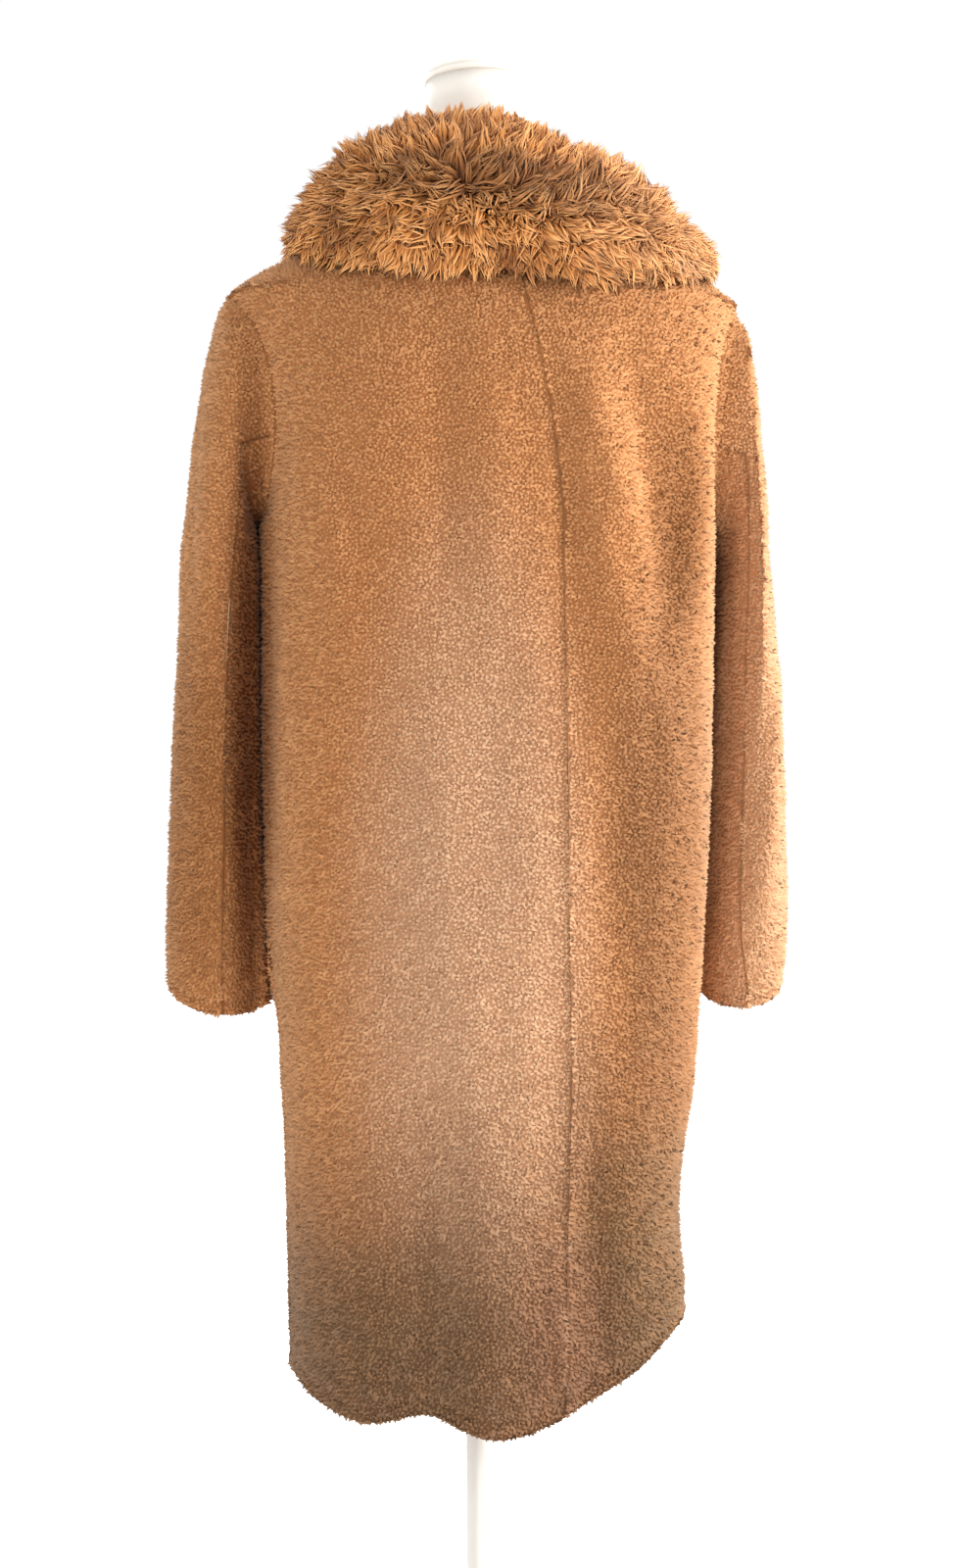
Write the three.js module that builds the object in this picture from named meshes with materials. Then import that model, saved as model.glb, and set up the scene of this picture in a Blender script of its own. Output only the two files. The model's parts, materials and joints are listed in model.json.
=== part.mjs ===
// A knee-length faux fur coat, closed at the front, worn by a plain white dress form on a round base.
// The coat is a short pile cloth, cut as two backs, two fronts and two-piece sleeves, with a wide
// long-pile collar that stands round the neck and falls over the shoulders.
// Millimetres, +Z up. The coat's front faces -Y and its left side is +X. The origin is the middle of
// the base's underside, on the floor.
import * as THREE from "three";

// Cloth and seams.
const CLOTH = 8; // backing and short pile together
const HEM_TURN = 4; // extra thickness of the turned-up layer inside a hem
const HEM_DEPTH = 40; // how far that layer reaches up
const SEAM = 0.3; // parting between sewn pieces
const LAP = 45; // how far each front passes the centre line
const LAP_RISE = CLOTH + 1.2; // the right front lies on the left one
const LAP_FULL = 21; // degrees either side of the centre front where it is fully raised
const LAP_BLEND = 22; // degrees over which it rises to that
const BREAK_Z = 1075; // where the front edges turn from straight to slanting
const NECK_Z = 1345; // neckline at the shoulder seams
const NECK_HALF = 80;
const LEAN = 0.014; // rise of the right shoulder, for each millimetre from the middle
const LEAN_FOOT = 950;

// Armholes, as ellipses seen from the side.
const ARM_TOP = 1258;
const UNDERARM = 1050;
const ARM_HALF_Y = 68;
const ARM_Y = 12;
const ARM_STEPS = 24;
const ARM_EASE = 2; // how many seam widths a sleeve's head lies inside its armhole

// Rows and columns of the body's panels, and their neckline.
const BELOW_ROWS = 18; // hem to underarm
const SHOULDER_ROWS = 6; // armhole to neckline
const BACK_COLUMNS = 13;
const FRONT_COLUMNS = 9;
const HEM_CLOSENESS = 1.15; // rows lie closer together just above the hem
const BACK_NECK_LIFT = 7; // how much higher the neckline is at the centre back
const FRONT_NECK_DROP = 5;

// Sections of the coat's body, hem to neck. halfWidth, back and front are measured from (midX, midY),
// and square is the exponent of the rounded-box outline.
const SECTIONS = [
  { z: 260, halfWidth: 176, back: 160, front: 150, midX: 1, midY: 8, square: 2.6 },
  { z: 330, halfWidth: 175, back: 160, front: 150, midX: 1, midY: 8, square: 2.6 },
  { z: 480, halfWidth: 178, back: 158, front: 150, midX: 0, midY: 9, square: 2.7 },
  { z: 600, halfWidth: 184.5, back: 156, front: 149, midX: -0.5, midY: 10, square: 2.8 },
  { z: 700, halfWidth: 192, back: 154, front: 149, midX: 0, midY: 11, square: 2.9 },
  { z: 820, halfWidth: 197.5, back: 152, front: 150, midX: 0.5, midY: 12, square: 3.0 },
  { z: 950, halfWidth: 200, back: 150, front: 152, midX: 0, midY: 12, square: 3.0 },
  { z: 1050, halfWidth: 201, back: 148, front: 155, midX: 0, midY: 12, square: 2.9 },
  { z: 1120, halfWidth: 202, back: 146, front: 153, midX: 0, midY: 12, square: 2.8 },
  { z: 1175, halfWidth: 208, back: 141, front: 141, midX: 0, midY: 12, square: 2.7 },
  { z: 1222, halfWidth: 219, back: 130, front: 120, midX: 0, midY: 12, square: 2.5 },
  { z: 1258, halfWidth: 230, back: 116, front: 100, midX: 0, midY: 12, square: 2.35 },
  { z: 1276, halfWidth: 207, back: 107, front: 90, midX: 0, midY: 10, square: 2.3 },
  { z: 1294, halfWidth: 175, back: 98, front: 81, midX: 0, midY: 6, square: 2.2 },
  { z: 1312, halfWidth: 141, back: 88, front: 74, midX: 0, midY: 2, square: 2.1 },
  { z: 1330, halfWidth: 107, back: 79, front: 69, midX: 0, midY: -1, square: 2.05 },
  { z: 1345, halfWidth: 80, back: 72, front: 65, midX: 0, midY: -3, square: 2.0 },
  { z: 1362, halfWidth: 60, back: 60, front: 60, midX: 0, midY: -5, square: 2.0 },
];

// The centre back seam, which bows towards the right as the coat hangs.
const BACK_SEAM = [
  { z: 260, bearing: 0 },
  { z: 400, bearing: -1.5 },
  { z: 550, bearing: -5 },
  { z: 660, bearing: -10 },
  { z: 760, bearing: -14 },
  { z: 860, bearing: -18.5 },
  { z: 960, bearing: -19 },
  { z: 1100, bearing: -14 },
  { z: 1230, bearing: -7 },
  { z: 1300, bearing: -2.5 },
  { z: 1362, bearing: 0 },
];

// Soft folds of the body: each runs from its head to its foot along the coat, at a bearing from the
// centre back in degrees, positive to the left side. A negative rise is a trough.
const FOLDS = [
  { head: 1190, foot: 820, headAt: -9, footAt: -25, spread: 8, rise: -6 },
  { head: 1215, foot: 985, headAt: -21, footAt: -30, spread: 8, rise: 10 },
  { head: 1050, foot: 740, headAt: -29, footAt: -46, spread: 8, rise: 8 },
  { head: 1235, foot: 960, headAt: -40, footAt: -43, spread: 7, rise: -12 },
  { head: 1250, foot: 940, headAt: -64, footAt: -54, spread: 7, rise: 6 },
  { head: 880, foot: 620, headAt: -30, footAt: -30, spread: 9, rise: -7 },
  { head: 1250, foot: 900, headAt: 26, footAt: 21, spread: 7, rise: -6 },
  { head: 1190, foot: 960, headAt: 58, footAt: 52, spread: 8, rise: 6 },
  { head: 640, foot: 210, headAt: 28, footAt: 25, spread: 8, rise: -9 },
  { head: 860, foot: 220, headAt: 10, footAt: 9, spread: 12, rise: 9 },
  { head: 560, foot: 220, headAt: -22, footAt: -25, spread: 10, rise: -11 },
  { head: 450, foot: 322, headAt: -57, footAt: -55, spread: 10, rise: 9 },
  { head: 700, foot: 230, headAt: 44, footAt: 42, spread: 12, rise: 6 },
  { head: 565, foot: 362, headAt: -74, footAt: -70, spread: 22, rise: -8 },
  { head: 760, foot: 220, headAt: 112, footAt: 116, spread: 10, rise: -8 },
  { head: 900, foot: 220, headAt: 138, footAt: 136, spread: 11, rise: 8 },
  { head: 820, foot: 220, headAt: -110, footAt: -116, spread: 10, rise: -8 },
  { head: 900, foot: 220, headAt: -134, footAt: -137, spread: 11, rise: 8 },
  { head: 1180, foot: 900, headAt: 128, footAt: 140, spread: 9, rise: -6 },
  { head: 1180, foot: 900, headAt: -128, footAt: -140, spread: 9, rise: -6 },
];

// The hem's height all round.
const HEM = [
  { bearing: -180, z: 308 },
  { bearing: -135, z: 330 },
  { bearing: -108, z: 368 },
  { bearing: -76, z: 374 },
  { bearing: -60, z: 372 },
  { bearing: -50, z: 360 },
  { bearing: -42, z: 341 },
  { bearing: -33, z: 326 },
  { bearing: -21, z: 309 },
  { bearing: -8, z: 296 },
  { bearing: 6, z: 290 },
  { bearing: 16, z: 297 },
  { bearing: 26, z: 314 },
  { bearing: 34, z: 306 },
  { bearing: 42, z: 301 },
  { bearing: 60, z: 309 },
  { bearing: 77, z: 318 },
  { bearing: 104, z: 322 },
  { bearing: 135, z: 313 },
  { bearing: 180, z: 308 },
];

// Sleeves, armhole to cuff. Each ring passes an outer and an inner point in the X, Z plane; midY is its
// middle, halfY its half-depth, and tip the degrees by which its back hangs lower.
const LEFT_SLEEVE = [
  { outerX: 238, outerZ: 1247, innerX: 209, innerZ: 1044, midY: 11, halfY: 70, tip: 0 },
  { outerX: 247, outerZ: 1208, innerX: 206, innerZ: 1026, midY: 10, halfY: 72, tip: 0 },
  { outerX: 256, outerZ: 1152, innerX: 203, innerZ: 998, midY: 9, halfY: 73, tip: 0 },
  { outerX: 264, outerZ: 1088, innerX: 202, innerZ: 962, midY: 8, halfY: 73, tip: 0 },
  { outerX: 269, outerZ: 1022, innerX: 201.3, innerZ: 918, midY: 8, halfY: 71, tip: 0 },
  { outerX: 273, outerZ: 952, innerX: 201, innerZ: 874, midY: 8, halfY: 69, tip: 2 },
  { outerX: 276, outerZ: 880, innerX: 199.5, innerZ: 824, midY: 6, halfY: 66, tip: 7 },
  { outerX: 279, outerZ: 808, innerX: 197, innerZ: 771, midY: 2, halfY: 62, tip: 14 },
  { outerX: 281, outerZ: 738, innerX: 193, innerZ: 714, midY: -12, halfY: 57, tip: 22 },
  { outerX: 282, outerZ: 688, innerX: 189, innerZ: 674, midY: -25, halfY: 53, tip: 28 },
  { outerX: 281, outerZ: 654, innerX: 186.5, innerZ: 646, midY: -36, halfY: 51, tip: 30 },
];
const RIGHT_SLEEVE = [
  { outerX: 237, outerZ: 1247, innerX: 211, innerZ: 1044, midY: 11, halfY: 70, tip: 0 },
  { outerX: 241, outerZ: 1210, innerX: 213, innerZ: 1026, midY: 10, halfY: 72, tip: 0 },
  { outerX: 247, outerZ: 1155, innerX: 212, innerZ: 998, midY: 9, halfY: 72, tip: 0 },
  { outerX: 255, outerZ: 1090, innerX: 210, innerZ: 960, midY: 8, halfY: 72, tip: 0 },
  { outerX: 260, outerZ: 1022, innerX: 208, innerZ: 916, midY: 8, halfY: 70, tip: 0 },
  { outerX: 266, outerZ: 949, innerX: 208, innerZ: 870, midY: 8, halfY: 68, tip: 2 },
  { outerX: 273, outerZ: 878, innerX: 207, innerZ: 820, midY: 6, halfY: 65, tip: 7 },
  { outerX: 285, outerZ: 804, innerX: 206, innerZ: 767, midY: 0, halfY: 61, tip: 14 },
  { outerX: 291, outerZ: 736, innerX: 205, innerZ: 712, midY: -14, halfY: 56, tip: 22 },
  { outerX: 293, outerZ: 686, innerX: 204, innerZ: 672, midY: -27, halfY: 53, tip: 28 },
  { outerX: 292, outerZ: 652, innerX: 204, innerZ: 644, midY: -36, halfY: 51, tip: 30 },
];
const SLEEVE_SQUARE = 2.3;
const SLEEVE_SEAM_BACK = 105; // degrees round the sleeve from its outer line, where the back seam starts
const SLEEVE_SEAM_FRONT = -105;

// Folds of the sleeves: ring numbers and degrees round the sleeve, outside 0 and back 90.
const LEFT_SLEEVE_FOLDS = [
  { head: 0.5, foot: 5.5, headAt: 48, footAt: 72, spread: 20, rise: 6 },
  { head: 1.5, foot: 6.5, headAt: 108, footAt: 112, spread: 18, rise: -8 },
  { head: 5, foot: 9, headAt: 20, footAt: 60, spread: 18, rise: -4 },
  { head: 2, foot: 7, headAt: -70, footAt: -60, spread: 20, rise: -5 },
];
const RIGHT_SLEEVE_FOLDS = [
  { head: 0.5, foot: 5.5, headAt: 60, footAt: 84, spread: 18, rise: 8 },
  { head: 0.6, foot: 6, headAt: 118, footAt: 124, spread: 17, rise: -8 },
  { head: 3.8, foot: 8.2, headAt: 8, footAt: 112, spread: 15, rise: 8 },
  { head: 4.5, foot: 9.2, headAt: -18, footAt: 70, spread: 20, rise: -6 },
  { head: 2, foot: 7, headAt: -70, footAt: -60, spread: 20, rise: -5 },
];

// The collar, centre back to its front end, for each side: where it is sewn to the neckline, where its
// outer edge lies on the coat, how high it stands before it rolls over, and how thick its pile is.
const COLLAR_LEFT = [
  { neckAt: 0, neckZ: 1352, edgeAt: 0, edgeZ: 1262, stand: 50, pile: 27 },
  { neckAt: 30, neckZ: 1351, edgeAt: 30, edgeZ: 1257, stand: 52, pile: 28 },
  { neckAt: 60, neckZ: 1349, edgeAt: 60, edgeZ: 1266, stand: 50, pile: 27 },
  { neckAt: 90, neckZ: 1346, edgeAt: 86, edgeZ: 1298, stand: 42, pile: 22 },
  { neckAt: 122, neckZ: 1339, edgeAt: 112, edgeZ: 1276, stand: 32, pile: 24 },
  { neckAt: 143, neckZ: 1300, edgeAt: 126, edgeZ: 1228, stand: 22, pile: 24 },
  { neckAt: 159, neckZ: 1245, edgeAt: 134, edgeZ: 1176, stand: 15, pile: 23 },
  { neckAt: 170, neckZ: 1190, edgeAt: 143, edgeZ: 1124, stand: 10, pile: 21 },
  { neckAt: 175, neckZ: 1158, edgeAt: 153, edgeZ: 1092, stand: 8, pile: 18 },
  { neckAt: 177, neckZ: 1138, edgeAt: 166, edgeZ: 1086, stand: 4, pile: 13 },
];
const COLLAR_RIGHT = [
  { neckAt: 0, neckZ: 1352, edgeAt: 0, edgeZ: 1262, stand: 50, pile: 27 },
  { neckAt: 30, neckZ: 1351, edgeAt: 30, edgeZ: 1252, stand: 35, pile: 27 },
  { neckAt: 60, neckZ: 1349, edgeAt: 60, edgeZ: 1260, stand: 27, pile: 30 },
  { neckAt: 90, neckZ: 1346, edgeAt: 86, edgeZ: 1280, stand: 23, pile: 27 },
  { neckAt: 122, neckZ: 1339, edgeAt: 112, edgeZ: 1272, stand: 27, pile: 26 },
  { neckAt: 143, neckZ: 1300, edgeAt: 126, edgeZ: 1226, stand: 21, pile: 24 },
  { neckAt: 159, neckZ: 1245, edgeAt: 134, edgeZ: 1176, stand: 15, pile: 23 },
  { neckAt: 170, neckZ: 1190, edgeAt: 143, edgeZ: 1124, stand: 10, pile: 21 },
  { neckAt: 175, neckZ: 1158, edgeAt: 153, edgeZ: 1092, stand: 8, pile: 18 },
  { neckAt: 177, neckZ: 1138, edgeAt: 166, edgeZ: 1086, stand: 4, pile: 13 },
];
const COLLAR_STEPS = 3; // columns between two rows of the tables
const COLLAR_CLEAR = 1.2;

// The dress form, bottom to neck, and its stand.
const FORM = [
  { z: 640, halfWidth: 150, back: 112, front: 96, midX: 0, midY: 2, square: 2.2 },
  { z: 700, halfWidth: 164, back: 124, front: 104, midX: 0, midY: 2, square: 2.2 },
  { z: 760, halfWidth: 168, back: 126, front: 106, midX: 0, midY: 2, square: 2.2 },
  { z: 860, halfWidth: 142, back: 104, front: 98, midX: 0, midY: 2, square: 2.2 },
  { z: 945, halfWidth: 120, back: 86, front: 90, midX: 0, midY: 4, square: 2.2 },
  { z: 1020, halfWidth: 132, back: 96, front: 106, midX: 0, midY: 6, square: 2.2 },
  { z: 1095, halfWidth: 148, back: 112, front: 130, midX: 0, midY: 8, square: 2.2 },
  { z: 1170, halfWidth: 160, back: 116, front: 108, midX: 0, midY: 9, square: 2.3 },
  { z: 1222, halfWidth: 172, back: 104, front: 88, midX: 0, midY: 10, square: 2.3 },
  { z: 1248, halfWidth: 179, back: 98, front: 82, midX: 0, midY: 10, square: 2.3 },
  { z: 1264, halfWidth: 182, back: 97, front: 80, midX: 0, midY: 9, square: 2.3 },
  { z: 1281, halfWidth: 173.5, back: 93, front: 76, midX: 0, midY: 8, square: 2.25 },
  { z: 1299, halfWidth: 140.5, back: 84, front: 69, midX: 0, midY: 4, square: 2.2 },
  { z: 1317, halfWidth: 107.5, back: 74, front: 62.5, midX: 0, midY: 1, square: 2.1 },
  { z: 1332, halfWidth: 80, back: 64.5, front: 57, midX: 0, midY: -2, square: 2.0 },
  { z: 1346, halfWidth: 58, back: 55, front: 54, midX: 0, midY: -4, square: 2.0 },
  { z: 1370, halfWidth: 51, back: 51, front: 51, midX: 0, midY: -5, square: 2.0 },
  { z: 1458, halfWidth: 50, back: 50, front: 50, midX: 0, midY: -5, square: 2.0 },
];
const CAP = { radius: 51, rim: 6, rise: 14, y: -5 };
const POLE = { radius: 14, collar: 24, collarHeight: 40 };
const BASE = { radius: 170, rim: 10, height: 22 };

const DEG = Math.PI / 180;
const UP = new THREE.Vector3(0, 0, 1);
const smooth = (t) => THREE.MathUtils.smoothstep(t, 0, 1);

// A column of a table at x, through its rows by a smooth curve.
function column(table, key, x, by = "z") {
  const last = table.length - 1;
  let i = 0;
  while (i < last - 1 && x > table[i + 1][by]) i += 1;
  const slope = (k) => {
    const a = table[Math.max(k - 1, 0)];
    const b = table[Math.min(k + 1, last)];
    return (b[key] - a[key]) / (b[by] - a[by]);
  };
  const [low, high] = [table[i], table[i + 1]];
  const span = high[by] - low[by];
  const t = THREE.MathUtils.clamp((x - low[by]) / span, 0, 1);
  const [t2, t3] = [t * t, t * t * t];
  return (
    (2 * t3 - 3 * t2 + 1) * low[key] +
    (t3 - 2 * t2 + t) * span * slope(i) +
    (-2 * t3 + 3 * t2) * high[key] +
    (t3 - t2) * span * slope(i + 1)
  );
}

const numbered = (table) => table.map((row, k) => ({ ...row, ring: k }));

// How far the folds raise the surface at a place given along and across them.
function foldRise(folds, along, across) {
  let rise = 0;
  for (const fold of folds) {
    const t = (along - fold.head) / (fold.foot - fold.head);
    if (t <= 0 || t >= 1) continue;
    const middle = THREE.MathUtils.lerp(fold.headAt, fold.footAt, t);
    const away = (across - middle) / fold.spread;
    rise += fold.rise * Math.sin(Math.PI * t) * Math.exp(-away * away);
  }
  return rise;
}

// Folds that run out at the hem keep their depth there.
const hemFolds = FOLDS.map((fold) => (fold.foot < 260 ? { ...fold, foot: 2 * fold.foot - fold.head / 2 } : fold));

// A point of a rounded-box section at a bearing from its back, positive towards +X.
function sectionPoint(table, bearing, z, grow = 0) {
  const [s, c] = [Math.sin(bearing * DEG), Math.cos(bearing * DEG)];
  const square = column(table, "square", z);
  const depth = column(table, c > 0 ? "back" : "front", z);
  const share = Math.abs(s / column(table, "halfWidth", z)) ** square + Math.abs(c / depth) ** square;
  const r = share ** (-1 / square) + grow;
  return new THREE.Vector3(column(table, "midX", z) + r * s, column(table, "midY", z) + r * c, z);
}

const wrapped = (bearing) => THREE.MathUtils.euclideanModulo(bearing + 180, 360) - 180;
const bodyPoint = (bearing, z, grow = 0) =>
  sectionPoint(SECTIONS, bearing, z, grow + foldRise(hemFolds, z, wrapped(bearing)));

const fromFront = (bearing) => Math.abs(Math.abs(wrapped(bearing)) - 180);
// The right front's surface, which rises over the left one near the centre front.
function lapRise(bearing) {
  const crossed = Math.abs(bearing) > 180 ? 0 : fromFront(bearing);
  return LAP_RISE * smooth((LAP_BLEND + LAP_FULL - crossed) / LAP_BLEND);
}
const rightFrontPoint = (bearing, z) => bodyPoint(bearing, z, lapRise(bearing));
const frontPoint = (side) => (side > 0 ? bodyPoint : rightFrontPoint);

// The outward normal of a surface point(a, b), with a turning from the back towards +X and b rising.
function normalAt(point, a, b, stepA, stepB) {
  const across = point(a + stepA, b).sub(point(a - stepA, b));
  const along = point(a, b + stepB).sub(point(a, b - stepB));
  return along.cross(across).normalize();
}
const bodyNormal = (point, bearing, z) => normalAt(point, bearing, z, 0.5, 1.5);

// A closed wall from the rows of its outer and inner points.
function wall(outer, inner) {
  const [rows, cols] = [outer.length, outer[0].length];
  const points = [...outer.flat(), ...inner.flat()];
  const at = (side, i, j) => side * rows * cols + i * cols + j;
  const index = [];
  const quad = (a, b, c, d) => index.push(a, b, c, a, c, d);
  for (let i = 0; i < rows - 1; i += 1) {
    for (let j = 0; j < cols - 1; j += 1) {
      quad(at(0, i, j), at(0, i, j + 1), at(0, i + 1, j + 1), at(0, i + 1, j));
      quad(at(1, i, j), at(1, i + 1, j), at(1, i + 1, j + 1), at(1, i, j + 1));
    }
    quad(at(0, i, 0), at(0, i + 1, 0), at(1, i + 1, 0), at(1, i, 0));
    quad(at(0, i, cols - 1), at(1, i, cols - 1), at(1, i + 1, cols - 1), at(0, i + 1, cols - 1));
  }
  for (let j = 0; j < cols - 1; j += 1) {
    quad(at(0, 0, j + 1), at(0, 0, j), at(1, 0, j), at(1, 0, j + 1));
    quad(at(0, rows - 1, j), at(0, rows - 1, j + 1), at(1, rows - 1, j + 1), at(1, rows - 1, j));
  }
  return faced(points, index);
}

// A geometry from points and triangles, turned so that its faces point out.
function faced(points, index) {
  let volume = 0;
  for (let i = 0; i < index.length; i += 3) {
    const [a, b, c] = [points[index[i]], points[index[i + 1]], points[index[i + 2]]];
    volume += a.dot(new THREE.Vector3().crossVectors(b, c));
  }
  const turned = volume < 0 ? index.slice().reverse() : index;
  const geometry = new THREE.BufferGeometry().setFromPoints(points);
  geometry.setIndex(turned);
  geometry.computeVertexNormals();
  return geometry;
}

// The bearing, on the unfolded section at z, of a point at y or at x.
function bearingAtY(z, y, side) {
  const away = y - column(SECTIONS, "midY", z);
  const depth = column(SECTIONS, away > 0 ? "back" : "front", z);
  const square = column(SECTIONS, "square", z);
  const width = column(SECTIONS, "halfWidth", z) * (1 - Math.abs(away / depth) ** square) ** (1 / square);
  return side * Math.atan2(width, away) * (1 / DEG);
}
function frontBearingAtX(z, x) {
  const away = x - column(SECTIONS, "midX", z);
  const square = column(SECTIONS, "square", z);
  const share = Math.min(Math.abs(away) / column(SECTIONS, "halfWidth", z), 1);
  const depth = column(SECTIONS, "front", z) * (1 - share ** square) ** (1 / square);
  return Math.atan2(Math.abs(away), -depth) * (1 / DEG) * Math.sign(away || 1);
}

// The armhole: angle 0 at the shoulder, 90 at the back, 180 at the underarm and 270 at the front.
const ARM_MIDDLE = (ARM_TOP + UNDERARM) / 2;
const ARM_HALF_Z = (ARM_TOP - UNDERARM) / 2;
function armhole(side, angle) {
  const z = ARM_MIDDLE + ARM_HALF_Z * Math.cos(angle * DEG);
  const y = ARM_Y + ARM_HALF_Y * Math.sin(angle * DEG);
  const bearing = bearingAtY(z, y, side);
  const edge = bodyPoint(bearing, z);
  const root = edge.clone().addScaledVector(bodyNormal(bodyPoint, bearing, z), -CLOTH);
  const outward = new THREE.Vector3(0, ARM_HALF_Z * Math.sin(angle * DEG), ARM_HALF_Y * Math.cos(angle * DEG));
  const corner = angle % 180 === 0;
  return { z, bearing, edge, root, corner, outward: outward.normalize() };
}

// Heights of the rows of the body: hem to underarm, armhole, shoulder.
function bodyRows(side, isBack) {
  const half = ARM_STEPS / 2;
  const rows = [];
  for (let i = 0; i < BELOW_ROWS; i += 1) rows.push({ share: i / BELOW_ROWS });
  for (let k = 0; k <= half; k += 1) {
    const angle = isBack ? 180 - (180 * k) / half : 180 + (180 * k) / half;
    rows.push({ arm: armhole(side, angle) });
  }
  for (let k = 1; k <= SHOULDER_ROWS; k += 1) rows.push({ shoulder: k / SHOULDER_ROWS });
  return rows;
}

const hemZ = (bearing) => column(HEM, "z", wrapped(bearing), "bearing");

// The coat's body between an inner and an outer boundary, as rows of wall points.
function bodyPanel({ side, isBack, innerBearing, point, columns, topLift }) {
  const outer = [];
  const inner = [];
  for (const row of bodyRows(side, isBack)) {
    const shoulderTop = isBack ? NECK_Z : NECK_Z - FRONT_NECK_DROP;
    const level = row.arm?.z ?? (row.shoulder ? THREE.MathUtils.lerp(ARM_TOP, shoulderTop, row.shoulder) : UNDERARM);
    const outerBearing = row.arm?.bearing ?? side * 90;
    const gap = (b) => ((SEAM / 2) * 1.1) / (2 * point(b, level).distanceTo(point(b + 0.5, level)));
    const start = innerBearing(level, row.share);
    const from = start + side * (isBack ? gap(start) : 0);
    const atSeam = row.arm && !row.arm.corner ? 0 : side * (isBack ? -gap(outerBearing) : gap(outerBearing));
    const to = outerBearing + atSeam;
    const [outRow, inRow] = [[], []];
    for (let j = 0; j <= columns; j += 1) {
      const bearing = THREE.MathUtils.lerp(from, to, j / columns);
      const lift = topLift * (row.shoulder ?? 0) ** 2 * Math.cos(bearing * DEG) ** 2;
      const z =
        row.share === undefined
          ? level + lift
          : THREE.MathUtils.lerp(hemZ(bearing), UNDERARM, row.share ** HEM_CLOSENESS);
      const flat = side < 0 ? smooth((fromFront(bearing) - LAP_FULL) / 10) : 1;
      const hem = row.share === undefined ? 0 : flat * smooth(1 - (z - hemZ(bearing)) / HEM_DEPTH);
      const p = point(bearing, z);
      outRow.push(p);
      inRow.push(p.clone().addScaledVector(bodyNormal(point, bearing, z), -CLOTH - HEM_TURN * hem));
    }
    outer.push(outRow);
    inner.push(inRow);
  }
  return wall(outer, inner);
}

// The front edge: straight down past the centre, and slanting up to the neck above the break.
function frontEdge(side, z) {
  if (z <= BREAK_Z - LAP) return frontBearingAtX(z, -side * LAP);
  const t = (z - BREAK_Z + LAP) / (NECK_Z - BREAK_Z + LAP);
  const x = THREE.MathUtils.lerp(-LAP, NECK_HALF - 6, t ** 0.8);
  return frontBearingAtX(z, side * x);
}
// The bearing runs on past 180 where a front passes the centre line.
const past = (side, bearing) => (bearing * side < 0 ? bearing + side * 360 : bearing);

const back = (side) =>
  bodyPanel({
    side,
    isBack: true,
    innerBearing: (z) => column(BACK_SEAM, "bearing", z),
    point: bodyPoint,
    columns: BACK_COLUMNS,
    topLift: BACK_NECK_LIFT,
  });
const front = (side) =>
  bodyPanel({
    side,
    isBack: false,
    innerBearing: (z, share) => past(side, frontEdge(side, share === undefined ? z : Math.min(z, UNDERARM))),
    point: frontPoint(side),
    columns: FRONT_COLUMNS,
    topLift: 0,
  });

// A sleeve, as a surface of ring number and angle. Below ring 0 it is sewn into the armhole.
function sleeveSurface(side, table, folds) {
  const rings = numbered(table);
  return (ring, angle) => {
    const get = (key) => column(rings, key, ring, "ring");
    const [s, c] = [Math.sin(angle * DEG), Math.cos(angle * DEG)];
    const grow = (Math.abs(s) ** SLEEVE_SQUARE + Math.abs(c) ** SLEEVE_SQUARE) ** (-1 / SLEEVE_SQUARE);
    const outer = new THREE.Vector3(get("outerX"), 0, get("outerZ"));
    const inner = new THREE.Vector3(get("innerX"), 0, get("innerZ"));
    const middle = outer.clone().add(inner).multiplyScalar(0.5);
    middle.y = get("midY");
    const arm = outer.sub(inner).multiplyScalar(0.5);
    const tip = get("tip") * DEG;
    const backward = new THREE.Vector3(0, Math.cos(tip), -Math.sin(tip)).multiplyScalar(get("halfY"));
    const radial = arm.multiplyScalar(c * grow).addScaledVector(backward, s * grow);
    const rise = foldRise(folds, ring, wrapped(angle)) / radial.length();
    return middle.addScaledVector(radial, 1 + rise).multiply(new THREE.Vector3(side, 1, 1));
  };
}

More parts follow.
